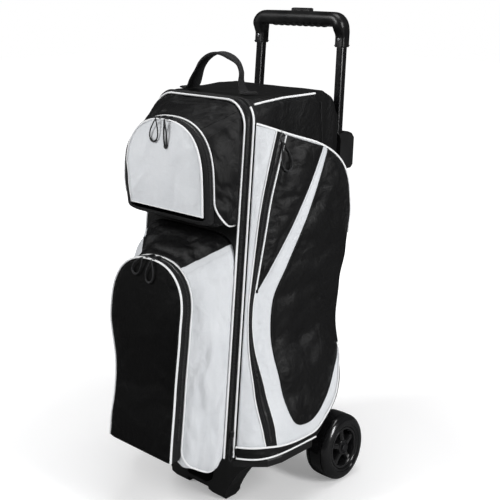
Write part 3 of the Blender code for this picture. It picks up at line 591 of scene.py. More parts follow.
def y_front(z):
    return np.where(z < 0.16, -0.0525 + (z - Z0) / (0.16 - Z0) * 0.0042, -0.063 + LEAN * z)


def y_rear(z):
    return np.interp(z, _r[:, 1], _r[:, 0])


NJ, NI = 150, 60
_zz = Z0 + (Z1 - Z0) * np.linspace(0, 1, NJ)
_aa = np.linspace(0, 1, NI) ** 1.15
GY = y_front(_zz)[:, None] * (1 - _aa) + y_rear(_zz)[:, None] * _aa
GZ = np.repeat(_zz[:, None], NI, 1)
GX = side_x(GY, GZ)
BASE = np.stack([GX, GY + S, GZ], 2)
DISP = np.zeros_like(BASE)

EL = spline([(.1212, -.0085), (.1635, -.0138), (.2166, -.0172), (.2718, -.0200), (.3272, -.0217), (.3837, -.0208),
             (.4394, -.0143), (.4954, -.0063), (.5516, .0017), (.6078, .0120), (.6642, .0247), (.7206, .0394), (.75, .047)])
ER = spline([(.1212, .0125), (.1585, .0095), (.2125, .0045), (.2693, -.0045), (.3256, -.0126), (.3600, -.0152),
             (.3828, -.0142), (.4384, -.0062), (.4942, .0045), (.5503, .0150), (.6067, .0262), (.6625, .0410),
             (.7191, .0580), (.75, .068)])
DL = spline([(.4281, -.0020), (.437, .0037), (.4634, .0207), (.4895, .0385), (.516, .0555), (.543, .0722), (.5696, .0890),
             (.5968, .1050), (.6249, .1192), (.6528, .1335), (.6808, .1480), (.705, .160)])
DR = spline([(.1700, .0575), (.1850, .0500), (.2028, .0450), (.2308, .0400), (.2611, .0345), (.2889, .0305),
             (.317, .0278), (.3462, .0262), (.3753, .0264), (.4031, .0313), (.4304, .0421), (.4574, .0566), (.4837, .0720),
             (.511, .0868), (.5385, .1012), (.5657, .1160), (.5935, .1290), (.6221, .1402), (.6505, .1517), (.6789, .1641),
             (.70, .173)])


def col(fn, z):
    z = np.asarray(z, float)
    return np.stack([fn(z), z], 1)


Z_EL = np.linspace(Z0, 0.7295, 90)
Z_ER = np.linspace(Z0, 0.7195, 90)
Z_DL = np.linspace(0.4225, 0.6880, 60)
LOWPIPE = curve([(-.0540, .1418), (-.0086, .1402), (.0203, .1358), (.0592, .1322), (.0900, .1318), (.1220, .1345),
                 (.1500, .1500), (.1740, .1690), (.1960, .1935), (.2095, .2230), (.2135, .2500), (.2120, .2780)], 90)
OUTLINE_REAR = _r[_r[:, 1] > 0.262]
DRPIPE = np.concatenate([curve([(.0915, .1550), (.0760, .1575), (.0640, .1635), (.0575, .1700)], 16)[:-1],
                         col(DR, np.linspace(0.1700, 0.6850, 110))])
BRPIPE = np.concatenate([curve([(.0915, .1550), (.1080, .1558), (.1270, .1635), (.1500, .1795), (.1740, .2000),
                                (.1950, .2270), (.2070, .2520), (.2110, .2700)], 50)[:-1],
                         walk(np.stack([_r[:, 0] - 0.002, _r[:, 1]], 1)[(_r[:, 1] > 0.275) & (_r[:, 1] < 0.6868)], 76)])


def surf(yz, lift=0.0, side=1):
    """Points and normals on the finished side pocket at (y, z) rows."""
    yz = np.asarray(yz, float)
    shape = yz.shape[:-1]
    y, z = yz[..., 0].ravel(), yz[..., 1].ravel()
    x = side_x(y, z)
    e = 2e-4
    n = unit(np.stack([np.ones_like(y), -(side_x(y + e, z) - side_x(y - e, z)) / (2 * e),
                       -(side_x(y, z + e) - side_x(y, z - e)) / (2 * e)], 1))
    j = np.clip((z - Z0) / (Z1 - Z0) * (NJ - 1), 0, NJ - 1.001)
    yf, yr = y_front(z), y_rear(z)
    a = np.clip((y - yf) / np.maximum(yr - yf, 1e-6), 0, 1) ** (1 / 1.15)
    i = np.clip(a * (NI - 1), 0, NI - 1.001)
    j0, i0 = j.astype(int), i.astype(int)
    fj, fi = (j - j0)[:, None], (i - i0)[:, None]
    d = (DISP[j0, i0] * (1 - fj) * (1 - fi) + DISP[j0 + 1, i0] * fj * (1 - fi)
         + DISP[j0, i0 + 1] * (1 - fj) * fi + DISP[j0 + 1, i0 + 1] * fj * fi)
    p = np.stack([x, y + S, z], 1) + d + n * lift
    p[:, 0] *= side
    n = n * np.array([side, 1, 1])
    return p.reshape(shape + (3,)), n.reshape(shape + (3,))


def ruled(A, B, nu, nv, ease=0.0):
    """(y, z) grid between two polylines in the side's plane."""
    a, b = walk(A, nu), walk(B, nu)
    t = np.linspace(0, 1, nv)[None, :, None]
    return a[:, None, :] * (1 - t) + b[:, None, :] * t


base_right = sheet("side_pocket_cloth_right", BASE, WHITE, "bag", "panel_fabric", want=(1, 0, 0),
                   uv=np.stack([GY, GZ], 2).reshape(-1, 2))
flat = np.stack([GY, GZ], 2).reshape(-1, 2)
border = np.concatenate([np.stack([GY[0], GZ[0]], 1), np.stack([GY[:, -1], GZ[:, -1]], 1)])
SEAMS = [col(EL, Z_EL), col(ER, Z_ER), col(DL, Z_DL), DRPIPE, BRPIPE, LOWPIPE, border,
         np.stack([GY[:, 0], GZ[:, 0]], 1)]
side_free, side_d = seam_free(flat, SEAMS, 0.008)
cloth(base_right, side_free, pressure=1.6, grow=0.010, cap=0.0042, bend=1.2)


# ------------------------------------------------------------ front pockets
class Pocket:
    """Front pocket: an arched flap, a zip band behind it, and a gusset back
    to the door.  Rings share one parameter, from the lower left corner up,
    over and down, then back along the bottom."""

    def __init__(self, name, half, z0, zc, rise, y0, lean, bow, door, band, power, drop, left, flare_l, flare_r, nb=28):
        self.name, self.half, self.z0, self.zc, self.rise = name, half, z0, zc, rise
        a = math.atan(lean)
        self.up = np.array([0, math.sin(a), math.cos(a)])
        self.out = np.array([0, -math.cos(a), math.sin(a)])
        self.o = np.array([0, y0 + S, z0])
        self.vc = (zc - z0) / self.up[2]
        self.bow, self.door, self.band, self.power, self.drop = bow, door, band, power, drop
        self.ns, self.na, self.nb = 36, 60, nb
        self.n0 = -0.0047 - band
        self.arch = 2.4                            # fuller than an ellipse
        self.left, self.flare_l, self.flare_r = left, flare_l, flare_r

    def at(self, u, v, n):
        return self.o + EX * u + self.up * v + self.out * n

    def place(self, u, v, n):
        return self.at(u, v, n + self.bow(self.z0 + v * self.up[2]))

    def flap_ring(self, n, inset=0.0, bottom=0.0):
        """Open arch, lower left to lower right."""
        pts = []
        v0, q = bottom, 2 / self.arch
        k = math.sin(math.pi / 2 * min(1.0, abs(n / self.n0) * 1.6))

        def lx(z, w):
            return -(w * float(self.left(z)) + float(self.flare_l(z)) * k - inset)

        def rx(w):
            return w + self.flare_r * k - inset
        for i in range(self.ns):
            v = v0 + (self.vc - v0) * i / self.ns
            pts.append((lx(self.z0 + v, float(self.half(self.z0 + v))), v))
        w = float(self.half(self.zc))
        for i in range(self.na + 1):
            t = math.pi - math.pi * i / self.na
            c, sn = math.cos(t), math.sin(t)
            v = self.vc + (self.rise - inset + self.flare_r * 0.3 * k) * sn ** q
            pts.append((lx(self.z0 + v, w) * abs(c) ** q if c < 0 else rx(w) * c ** q, v))
        for i in range(self.ns):
            v = self.vc + (v0 - self.vc) * (i + 1) / self.ns
            pts.append((rx(float(self.half(self.z0 + v))), v))
        return np.array([self.place(u, v, n) for u, v in pts])

    def ring(self, n, inset=0.0, soften=0):
        """Closed ring of the zip band; its bottom hangs drop below the flap."""
        a = self.flap_ring(n, inset, -self.drop * min(1.0, 0.40 + 0.8 * abs(n / self.n0)) + inset)
        r, l = a[-1], a[0]
        b = [r + (l - r) * (i + 1) / self.nb for i in range(self.nb - 1)]
        p = np.concatenate([a, b])
        return self.soft(p, soften)

    def soft(self, p, steps):
        """Rounds the two lower corners."""
        if not steps:
            return p
        m = len(p)
        k0 = 2 * self.ns + self.na
        w = np.zeros(m)
        for c in (0, k0):
            dist = np.minimum((np.arange(m) - c) % m, (c - np.arange(m)) % m)
            w = np.maximum(w, smooth(1.3 - dist / 7.0))
        for _ in range(steps):
            p = p + w[:, None] * 0.5 * ((np.roll(p, 1, 0) + np.roll(p, -1, 0)) / 2 - p)
        return p

    def door_ring(self, inset=0.0, soften=0, n=0.0):
        w, z0, zt = self.door
        w, z0, zt = w - inset, z0 + inset, zt - inset
        q = 2 / self.power
        pts = [(-w, z0 + (self.zc - z0) * i / self.ns) for i in range(self.ns)]
        for i in range(self.na + 1):
            t = math.pi - math.pi * i / self.na
            c, s = math.cos(t), math.sin(t)
            pts.append((math.copysign(abs(c) ** q, c) * w, self.zc + (zt - self.zc) * abs(s) ** q))
        pts += [(w, self.zc + (z0 - self.zc) * (i + 1) / self.ns) for i in range(self.ns)]
        pts += [(w - 2 * w * (i + 1) / self.nb, z0) for i in range(self.nb - 1)]
        p = np.array([sh(x, DOOR_FRONT - 0.0004 - n, z) for x, z in pts])
        return self.soft(p, soften)


SHOE = Pocket("shoe", eased([(.120, .0935), (.16, .0930), (.255, .0890), (.37, .0995), (.40, .0998)]), 0.1335, 0.390, 0.097,
              -0.1700, LEAN, eased([(.120, -.001), (.16, -.001), (.25, -.0055), (.375, .0030), (.45, .0), (.50, -.001)]),
              (0.1290, 0.1195, 0.5315), 0.019, 6, 0.005,
              eased([(.12, .91), (.20, .91), (.27, .965), (.37, 1.04), (.45, 1.05), (.50, 1.05)]),
              eased([(.12, .015), (.25, .012), (.33, .007), (.42, .002)]), -0.001)
ACC = Pocket("accessory", eased([(.54, .1095), (.60, .1110), (.66, .1105)]), 0.575, 0.642, 0.109,
             -0.1045, 0.0, eased([(.56, -.001), (.60, .0005), (.68, .002), (.76, -.001)]),
             (0.1290, 0.5500, 0.7845), 0.016, 6, 0.019,
             eased([(.54, .87), (.575, .875), (.62, .935), (.665, .985), (.80, .985)]),
             eased([(.54, .024), (.58, .026), (.62, .026), (.67, .017), (.72, .010), (.76, .006)]), 0.007)


def creases(q, folds):
    """Soft ridges along short lines; folds are (a0, b0, a1, b1, width, height)."""
    out = np.zeros(q.shape[:-1])
    for a0, b0, a1, b1, wd, ht in folds:
        a, ab = np.array([a0, b0]), np.array([a1 - a0, b1 - b0])
        t = np.clip(((q - a) @ ab) / (ab @ ab), 0, 1)
        d = np.linalg.norm(q - (a + t[..., None] * ab), axis=-1)
        out += ht * np.exp(-(d / wd) ** 2) * (0.35 + 0.65 * np.sin(math.pi * np.clip(t * 0.9 + 0.05, 0, 1)))
    return out


SHOE.folds = [(-.06, .20, .03, .16, .010, .0012), (.05, .25, -.02, .21, .012, .0012), (-.05, .33, .06, .36, .014, .0010),
              (.07, .42, .03, .35, .012, .0012), (-.07, .27, -.03, .34, .012, -.0010), (.02, .30, .07, .27, .010, .0010)]
ACC.folds = [(-.105, .585, -.035, .650, .007, .0016), (-.090, .582, -.010, .612, .008, -.0010),
             (.100, .585, .030, .640, .008, .0017), (.085, .705, .020, .672, .009, .0015), (-.030, .740, -.045, .680, .008, .0013),
             (.030, .600, .045, .650, .008, -.0012), (-.080, .660, -.030, .690, .010, .0012), (.055, .725, .035, .690, .008, .0010)]


def nearest_t(ring, z, right=True):
    """Ring index (a float) where its right or left half passes height z."""
    m = len(ring)
    best, k = 1e9, 0
    for i in range(m):
        if (ring[i][0] > 0) == right and abs(ring[i][2] - z) < best and 3 < i < 2 * 36 + 60 - 3:
            best, k = abs(ring[i][2] - z), i
    return float(k)


def at_t(ring, t):
    """Point on a closed ring at float index t."""
    m = len(ring)
    k = np.floor(t).astype(int)
    f = (t - k)[..., None]
    return ring[k % m] * (1 - f) + ring[(k + 1) % m] * f


def gusset(P, cuts, nv, puffy, seam_rows, free_w, pressure, grow, cap, seed):
    """Cloth from the zip band to the door.  cuts: list of (t at the band,
    t at the door, material index up to the next cut, columns)."""
    ringA = P.ring(P.n0 - 0.0004, soften=6 if P.name == "shoe" else 16)
    ringB = P.door_ring(soften=6 if P.name == "shoe" else 10)
    m = len(ringA)
    V = np.linspace(0, 1, nv)
    T, M, seam = [], [], []
    for k, (ta, tb, mi, nc) in enumerate(cuts):
        na, nb_ = cuts[(k + 1) % len(cuts)][:2] if k + 1 < len(cuts) else (cuts[0][0] + m, cuts[0][1] + m)
        for c in range(nc):
            f = c / nc
            a, b = ta + (na - ta) * f, tb + (nb_ - tb) * f
            T.append(a + (b - a) * V)
            M.append(mi)
            seam.append(min(c, nc - c))
    T.append(cuts[0][0] + m + (cuts[0][1] - cuts[0][0]) * V)
    seam.append(0)
    T = np.array(T)                                # columns x rows
    A, B = at_t(ringA, T), at_t(ringB, T)
    v = V[None, :, None]
    G = A * (1 - v) + B * v
    if P.name == "shoe":                           # the lower edge hangs down between band and door
        tm = np.mod(T, m)
        away = np.where(tm > K_END - 8, np.maximum(0, K_END - tm), tm)
        away = np.where((tm > 8) & (tm < K_END - 8), 9, away)
        G[..., 2] -= 0.020 * np.sin(math.pi * np.minimum(1, v[..., 0] * 0.85 + 0.02)) * smooth(1 - away / 5.5)
    up = unit(np.cross(np.gradient(G, axis=0), np.gradient(G, axis=1)))
    c = G.mean((0, 1))
    sgn = np.sign(((G - c) * up).sum(2))
    up = up * np.where(np.median(sgn) < 0, -1, 1)
    Gz = G[..., 2]
    wave = np.array([[fbm((V[j] * 2.4, Gz[i, j] * 5.5, 0.02 * i), 1.0, seed, 3) for j in range(nv)] for i in range(len(T))])
    if P.name != "shoe":
        wave = np.array([[fbm((V[j] * 1.6, 0.11 * i - 1.2 * V[j], 0.3), 1.0, seed, 3) for j in range(nv)]
                         for i in range(len(T))])
    hold = smooth(np.minimum(V, 1 - V) / 0.16)[None, :]
    G = G + up * (puffy * 4 * v * (1 - v)) + up * (wave * hold * (0.0080 if P.name == "shoe" else 0.0065))[..., None]
    G = np.transpose(G, (1, 0, 2))                 # rows (band to door) x columns
    up = np.transpose(up, (1, 0, 2))
    nr, nc = G.shape[:2]
    fm = [M[i] for j in range(nr - 1) for i in range(nc - 1)]
    flip = np.dot(np.cross(G[2, 41] - G[2, 40], G[3, 40] - G[2, 40]), up[2, 40]) < 0
    o = make(P.name + "_gusset_cloth", G.reshape(-1, 3), grid_faces(nr, nc, flip), None, "door", "panel_fabric",
             grid_uv(G), mats=[BLACK, WHITE], face_mat=fm, recalc=False, thick=0.0022)
    row = np.minimum(np.arange(nr), nr - 1 - np.arange(nr)) / (nr - 1)
    cs = np.array(seam, float)
    free = smooth(row[:, None] / 0.10) * smooth(cs[None, :] / 2.0)
    cloth(o, free.ravel(), pressure, grow, cap, 0.9)
    return o, G, up, ringA, ringB


def flap(P, mat, slot, puffy, pressure, grow, cap):
    """The arched front panel, crowned and then blown up a little as cloth."""
    rows, nu = [], 52
    vs = list(np.linspace(0.0006, P.vc, 46)[:-1]) + [P.vc + (P.rise - 0.0016) * math.sin(a)
                                                  for a in np.linspace(0, math.pi / 2, 34)]
    for v in vs:
        z = P.z0 + v * P.up[2]
        if v <= P.vc:
            w = float(P.half(z)) - 0.0016
        else:
            w = (float(P.half(P.zc)) - 0.0016) * max(0.0, 1 - ((v - P.vc) / (P.rise - 0.0016)) ** P.arch) ** (1 / P.arch)
        w = max(w, 0.0004)
        row = []
        for i in range(nu + 1):
            s = math.sin(math.pi / 2 * (2 * i / nu - 1))
            u = w * (0.35 * (2 * i / nu - 1) + 0.65 * s)
            if u < 0:
                u *= float(P.left(P.z0 + v))
            d = min(P.half(P.zc) - abs(u), v + 0.004, P.vc + P.rise - v + 0.0)
            row.append(P.place(u, v, 0.0 + puffy * (1 - math.exp(-max(0.0, w - abs(u)) / 0.03)) * smooth(v / 0.05)
                               * smooth((P.vc + P.rise - v) / 0.06)))
        rows.append(row)
    G = np.array(rows)
    fade = smooth(np.minimum(np.arange(len(G)), len(G) - 1 - np.arange(len(G))) / 8.0)[:, None] * \
        smooth(np.minimum(np.arange(nu + 1), nu - np.arange(nu + 1)) / 9.0)[None, :]
    G = G + P.out * (creases(G[..., [0, 2]], P.folds) * fade * 1.7)[..., None]
    o = sheet(P.name + "_flap_cloth", G, mat, P.name + "_cover", slot, want=P.out, thick=0.0024,
              replaces=[P.name + "_flap"])
    nr, nc = G.shape[:2]
    j, i = np.meshgrid(np.arange(nr), np.arange(nc), indexing="ij")
    free = smooth(np.minimum(j, nr - 1 - j) / 3.0) * smooth(np.minimum(i, nc - 1 - i) / 3.0)
    cloth(o, free.ravel(), pressure, grow, cap, 0.8)
    return o, G


K_END = 2 * 36 + 60                                 # index of the lower right corner
_a = SHOE.ring(SHOE.n0, soften=6)
_b = SHOE.door_ring(soften=6)
tRA, tRB = nearest_t(_a, 0.4723), nearest_t(_b, 0.5165)
tLA, tLB = nearest_t(_a, 0.4723, False), nearest_t(_b, 0.5165, False)
shoe_gusset, SG, SGN, SA, SB = gusset(SHOE, [(-1.0, -1.0, 1, 44), (tLA, tLB, 0, 46), (tRA, tRB, 1, 44),
                                             (K_END + 1.0, K_END + 1.0, 0, 20)], 20, 0.004, None, 0, 2.2, 0.016, 0.0060, 3.0)
_a = ACC.ring(ACC.n0, soften=16)
_b = ACC.door_ring(soften=10)
hA, hB = nearest_t(_a, 0.7345), nearest_t(_b, 0.7689)
gA, gB = nearest_t(_a, 0.7345, False), nearest_t(_b, 0.7689, False)
acc_gusset, AG, AGN, AA, AB = gusset(ACC, [(0.0, 0.0, 0, 34), (gA, gB, 0, 34), (hA, hB, 0, 34),
                                           (float(K_END), float(K_END), 0, 24)], 18, 0.003, None, 0, 2.2, 0.016, 0.0055, 5.0)
shoe_flap_o, SF = flap(SHOE, BLACK_DEEP, "black_fabric", 0.0025, 1.6, 0.008, 0.0040)
acc_flap_o, AF = flap(ACC, WHITE, "white_fabric", 0.0030, 1.8, 0.012, 0.0046)


# ------------------------------------------------------------ body shell, before the cloth run
def rrect(hw, z0, z1, rt, rb, seg=10, side=24, top=20):
    """(x, z) ring from the middle of the base, round to the right, over."""
    p = []
    p += [(hw * t, z0) for t in np.linspace(0, 1 - rb / hw, 8)[:-1]]
    p += [(hw - rb + rb * math.cos(a), z0 + rb + rb * math.sin(a)) for a in np.linspace(-math.pi / 2, 0, 5)]
    p += [(hw, z) for z in np.linspace(z0 + rb, z1 - rt, side)[1:-1]]
    p += [(hw - rt + rt * math.cos(a), z1 - rt + rt * math.sin(a)) for a in np.linspace(0, math.pi / 2, seg)]
    p += [(x, z1) for x in np.linspace(hw - rt, 0, top // 2)[1:]]
    return p + [(-x, z) for x, z in reversed(p[1:-1])]


ST = [(RIM, BODY_TOP, .045, HALF_W), (-.03, BODY_TOP, .030, HALF_W), (.02, BODY_TOP, .016, HALF_W),
      (.155, BODY_TOP, .016, HALF_W), (.184, .779, .024, HALF_W), (.2015, .756, .034, .1385), (BACK, .722, .030, .131)]


def station(yl):
    t = [s[0] for s in ST]
    return [float(np.interp(yl, t, [s[c] for s in ST])) for c in (1, 2, 3)]


YL = list(np.linspace(RIM + 0.0003, .155, 46)) + list(np.linspace(.155, BACK, 18))[1:]
rings = []
for yl in YL:
    top, rt, hw = station(yl)
    rings.append([sh(x, yl, z) for x, z in rrect(hw - 0.0001, BODY_BOTTOM + 0.0002, top - 0.0001, rt, 0.006)])
R = np.array(rings)
nrm = unit(np.cross(np.gradient(R, axis=1), np.gradient(R, axis=0)))
mid = R.mean(1, keepdims=True)
nrm *= np.sign(((R - mid) * nrm).sum(2, keepdims=True).mean())
rim_fade = smooth((np.array(YL) - RIM - 0.004) / 0.03)
for j in range(len(YL)):
    for i in range(R.shape[1]):
        p = R[j, i]
        w = fbm((p[0] * 1.0, p[1] * 1.6, p[2]), 11, 4.0, 3) * 0.0016
        # the roof sags a little between the front edge and the rear shoulder
        if p[2] > BODY_TOP - 0.02:
            w -= 0.0045 * math.exp(-((YL[j] - 0.03) / 0.07) ** 2) * max(0.0, 1 - (p[0] / 0.135) ** 2)
        else:
            w = min(w, 0.0004)
        if YL[j] > 0.17:
            w *= 0.5
        if p[2] > BODY_TOP - 0.05:
            w += 0.0055 * fbm((p[0] * 9, p[1] * 12, 0.4), 1.0, 6.0, 2) * 0.5
        if YL[j] > 0.185:
            w = min(w, 0.0) - 0.0016 * float(smooth((YL[j] - 0.185) / 0.01))
        R[j, i] += nrm[j, i] * min(w, 0.0030 if p[2] > BODY_TOP - 0.05 else 0.0012) * rim_fade[j]
m = R.shape[1]
RR = np.concatenate([R, R[:, :1]], 1)
uvs = grid_uv(RR)
verts, faces = RR.reshape(-1, 3), grid_faces(len(YL), m + 1)
faces = list(faces) + [tuple((len(YL) - 1) * (m + 1) + i for i in range(m))]
shell = make("body_shell_cloth", verts, faces, None, "bag", "black_fabric", uvs, mats=[BLACK, LINING], weld=True,
             thick=0.0046, replaces=["main_shell"])
shell.modifiers["thickness"].material_offset = 1

run_cloth()

# ------------------------------------------------------------ side pockets, after the cloth run
_d = coords(base_right.data).reshape(NJ, NI, 3) - BASE
if np.abs(_d).max() < 1e-6:
    e = 1e-4
    nn = unit(np.stack([np.ones_like(GY), -(side_x(GY + e, GZ) - side_x(GY - e, GZ)) / (2 * e),
                        -(side_x(GY, GZ + e) - side_x(GY, GZ - e)) / (2 * e)], 2))
    _d = nn * (0.0016 * (1 - np.exp(-side_d / 0.015))).reshape(NJ, NI, 1)
e = 1e-4
nn = unit(np.stack([np.ones_like(GY), -(side_x(GY + e, GZ) - side_x(GY - e, GZ)) / (2 * e),
                    -(side_x(GY, GZ + e) - side_x(GY, GZ - e)) / (2 * e)], 2))
SIDE_FOLDS = [(.055, .700, .040, .600, .009, .0026), (.080, .690, .060, .610, .010, -.0016), (.020, .560, .030, .500, .008, .0018),
              (.100, .690, .090, .650, .009, .0020), (.045, .600, .025, .520, .007, -.0012), (.195, .620, .150, .560, .012, .0024),
              (.215, .560, .160, .520, .013, -.0018), (.210, .480, .120, .430, .014, .0026), (.080, .380, .150, .400, .014, .0020),
              (.060, .300, .130, .330, .013, -.0018), (.100, .230, .180, .300, .015, .0024), (.200, .400, .140, .350, .014, .0016),
              (.190, .330, .100, .290, .012, .0014), (.180, .660, .165, .600, .010, .0016), (.120, .540, .190, .500, .012, .0015)]
_f = creases(np.stack([GY, GZ], 2), SIDE_FOLDS)
_w = np.zeros_like(GY)
for j in range(NJ):
    for i in range(NI):
        y, z = GY[j, i], GZ[j, i]
        if y < float(EL(z)):                       # short puckers across the narrow front strip
            _w[j, i] = 0.0034 * fbm((y * 18, z * 34, 0.5), 1.0, 9.0, 2)
        else:
            _w[j, i] = 0.0038 * fbm((y * 15, z * 11, 0.2), 1.0, 2.0, 3)
_d = _d + nn * (np.clip(_f + _w, -0.003, 0.0045) * side_free.reshape(NJ, NI))[..., None]
DISP[:] = _d
base_right.data.vertices.foreach_set("co", (BASE + DISP).astype(np.float32).ravel())
base_right.data.update()
for o, body, slot, rep in list(PIECES):
    if o is base_right:
        PIECES.remove((o, body, slot, rep))
        PIECES.append((o, body, slot, ("side_pocket_right",)))
L = (BASE + DISP) * np.array([-1, 1, 1])
base_left = sheet("side_pocket_cloth_left", L, WHITE, "bag", "panel_fabric", want=(-1, 0, 0),
                  uv=np.stack([GY, GZ], 2).reshape(-1, 2), replaces=["side_pocket_left"])
for o in (base_right, base_left):
    s = o.modifiers.new("thickness", "SOLIDIFY")
    s.thickness, s.offset = 0.0022, -1

for side, tag in ((1, "right"), (-1, "left")):
    want = (side, 0, 0)

    def overlay(name, A, B, nu, nv, mat, slot, lift, thick=0.0009, crown=0.0):
        g = ruled(A, B, nu, nv)
        t = np.linspace(0, 1, nv)
        s = np.linspace(0, 1, nu)
        lf = lift + crown * (1 - np.exp(-np.minimum(t, 1 - t)[None, :] / 0.08)) * np.ones((nu, 1))
        p, n = surf(g, 0.0, side)
        P = p + n * np.asarray(lf)[..., None]
        return sheet(name + "_" + tag, P, mat, "bag", slot, want=want, thick=thick, uv=g.reshape(-1, 2))

    def cord(name, yz, r=0.0018, lift=0.0012, mat=PIPING, slot="white_fabric"):
        p, n = surf(yz, lift, side)
        return tube(name + "_" + tag, p, r, mat, "bag", slot)

    def stitch(name, yz, mat=THREAD_B, pitch=0.0031, lift=0.0010):
        p, n = surf(yz, 0.0, side)
        return beads(name + "_" + tag, p, n, pitch, (0.0021, 0.0006, 0.0004), mat, "bag", "panel_fabric", lift=lift)

    # black inner panel, front triangle, zip band and lower band lie over the white cloth
    overlay("side_panel_black", DRPIPE, BRPIPE, 150, 40, BLACK, "panel_fabric", 0.0013, 0.0010)
    tri_a = col(ER, np.linspace(0.4240, 0.7195, 80)) + np.array([0.0008, 0])
    tri_b = np.concatenate([col(DL, Z_DL)])
    overlay("side_triangle_black", tri_a, tri_b, 110, 26, BLACK, "panel_fabric", 0.0014, 0.0010)
    overlay("side_zip_tape", col(EL, Z_EL), np.concatenate([col(ER, Z_ER)]), 110, 9, TAPE, "zip_tape", 0.0010, 0.0010)
    low = curve([(-.0525, .1214), (-.012, .1214), (.06, .1214), (.1195, .1214), (.1450, .1395), (.1680, .1580),
                 (.1955, .1855), (.2120, .2150), (.2150, .2450), (.2145, .2700)], 90)
    overlay("side_base_band", low, LOWPIPE, 120, 12, BLACK, "panel_fabric", 0.0013, 0.0012)
    # coil down the middle of the tape
    zc = np.stack([(EL(Z_EL) + ER(np.minimum(Z_EL, 0.7195))) / 2, Z_EL], 1)
    zc = zc[zc[:, 1] > 0.1440]
    p, n = surf(zc, 0.0, side)
    beads("side_zip_coil_" + tag, p, n, 0.0021, (0.0011, 0.0044, 0.0011), COIL, "bag", "zip_tape", lift=0.0017, zig=0.0004)
    t2 = np.stack([zc[:, 0], zc[:, 1]], 1)
    for k, off in (("a", -0.0046), ("b", 0.0046)):
        q = t2 + np.array([off, 0.0])
        keep = (q[:, 0] > EL(q[:, 1]) + 0.0012) & (q[:, 0] < ER(q[:, 1]) - 0.0012)
        q = q[keep]
        if len(q) > 8:
            gap = np.where(np.linalg.norm(np.diff(q, axis=0), axis=1) > 0.02)[0]
            parts = np.split(q, gap + 1)
            for w, part in enumerate(parts):
                if len(part) > 4:
                    stitch("side_zip_stitch_%s%d" % (k, w), part, lift=0.0018)
    # piping
    top = np.concatenate([np.array([[.0052, .7440]]), curve([(.0056, .7440), (.066, .7205), (.1513, .6904), (.1803, .6740),
                          (.2077, .6499), (.2290, .6111), (.2385, .5600), (.2375, .5000)], 70)[1:]])
    cord("side_top_piping", top, 0.0021, 0.0008)
    cord("side_zip_piping_front", col(EL, np.linspace(.1430, .7290, 90)) - np.array([.0012, 0]), 0.0014, 0.0008)
    cord("side_zip_piping_rear", col(ER, np.linspace(.4300, .7190, 60)) + np.array([.0014, 0]), 0.0019, 0.0010)
    cord("side_zip_piping_low", col(ER, np.linspace(.1400, .4300, 60)) + np.array([.0010, 0]), 0.0010, 0.0006)
    cord("side_low_piping", LOWPIPE, 0.0018, 0.0012)
    stitch("side_diag_stitch", col(lambda z: DL(z) + 0.0062, np.linspace(.4420, .6800, 60)), THREAD_W, lift=0.0003)
    stitch("side_panel_stitch", DRPIPE[8:] + np.array([0.0028, 0]), THREAD_B, lift=0.0012)
    stitch("side_low_stitch", LOWPIPE[6:-8] + np.array([0, 0.0042]), THREAD_W, lift=0.0003)
    # roof and rear wall of the pocket, back to the shell
    loop = np.concatenate([_r[::3], _r[-1:]])
    p, n = surf(loop, 0.0, side)
    inner = p.copy()
    inner[:, 0] = side * (HALF_W + 0.0006)
    rows = []
    for t in np.linspace(0, 1, 9):
        q = p * (1 - t) + inner * t
        dip = 0.0035 * 4 * t * (1 - t)
        cy, cz = 0.09 + S, 0.42
        d = unit(np.stack([np.zeros(len(q)), q[:, 1] - cy, q[:, 2] - cz], 1))
        rows.append(q - d * dip)
    sheet("side_pocket_wall_" + tag, np.array(rows), BLACK, "bag", "panel_fabric", thick=0.0018,
          want=lambda a: (0, a[1] - 0.09 - S, a[2] - 0.42))
    # base line and front edge binding
    q = np.stack([np.linspace(-.0525, .1195, 50), np.full(50, .1214)], 1)
    p, n = surf(q, 0.0, side)
    inner = p.copy()
    inner[:, 0] = side * (HALF_W + 0.0006)
    sheet("side_pocket_floor_" + tag, np.array([p * (1 - t) + inner * t for t in (0, .33, .66, 1)]), BLACK, "bag",
          "panel_fabric", thick=0.0010, want=(0, 0, -1))
    cord("side_base_piping", q, 0.0017, 0.0010)

# ------------------------------------------------------------ shell trim
EDGE = {"rim": (0.1396, 0.7896, 0.0446), "mid": (0.1325, 0.7882, 0.0400), "face": (0.1300, 0.7862, 0.0500)}


def track(key, yl, inset=0.0, z0=0.1225, seg=14):
    """Ring that runs up the left, over the top and down the right."""
    hw, top, r = EDGE[key]
    hw, top, r = hw - inset, top - inset, r - inset
    p = [(-hw, z) for z in np.linspace(z0, top - r, 60)]
    p += [(-hw + r + r * math.cos(a), top - r + r * math.sin(a)) for a in np.linspace(math.pi, math.pi / 2, seg)[1:]]
    p += [(x, top) for x in np.linspace(-hw + r, hw - r, 30)[1:-1]]
    p += [(hw - r + r * math.cos(a), top - r + r * math.sin(a)) for a in np.linspace(math.pi / 2, 0, seg)]
    p += [(hw, z) for z in np.linspace(top - r, z0, 60)[1:]]
    return np.array([sh(x, yl, z) for x, z in p])


def front_want(a):
    return (a[0], -0.14, (a[2] - 0.45) * 0.3)


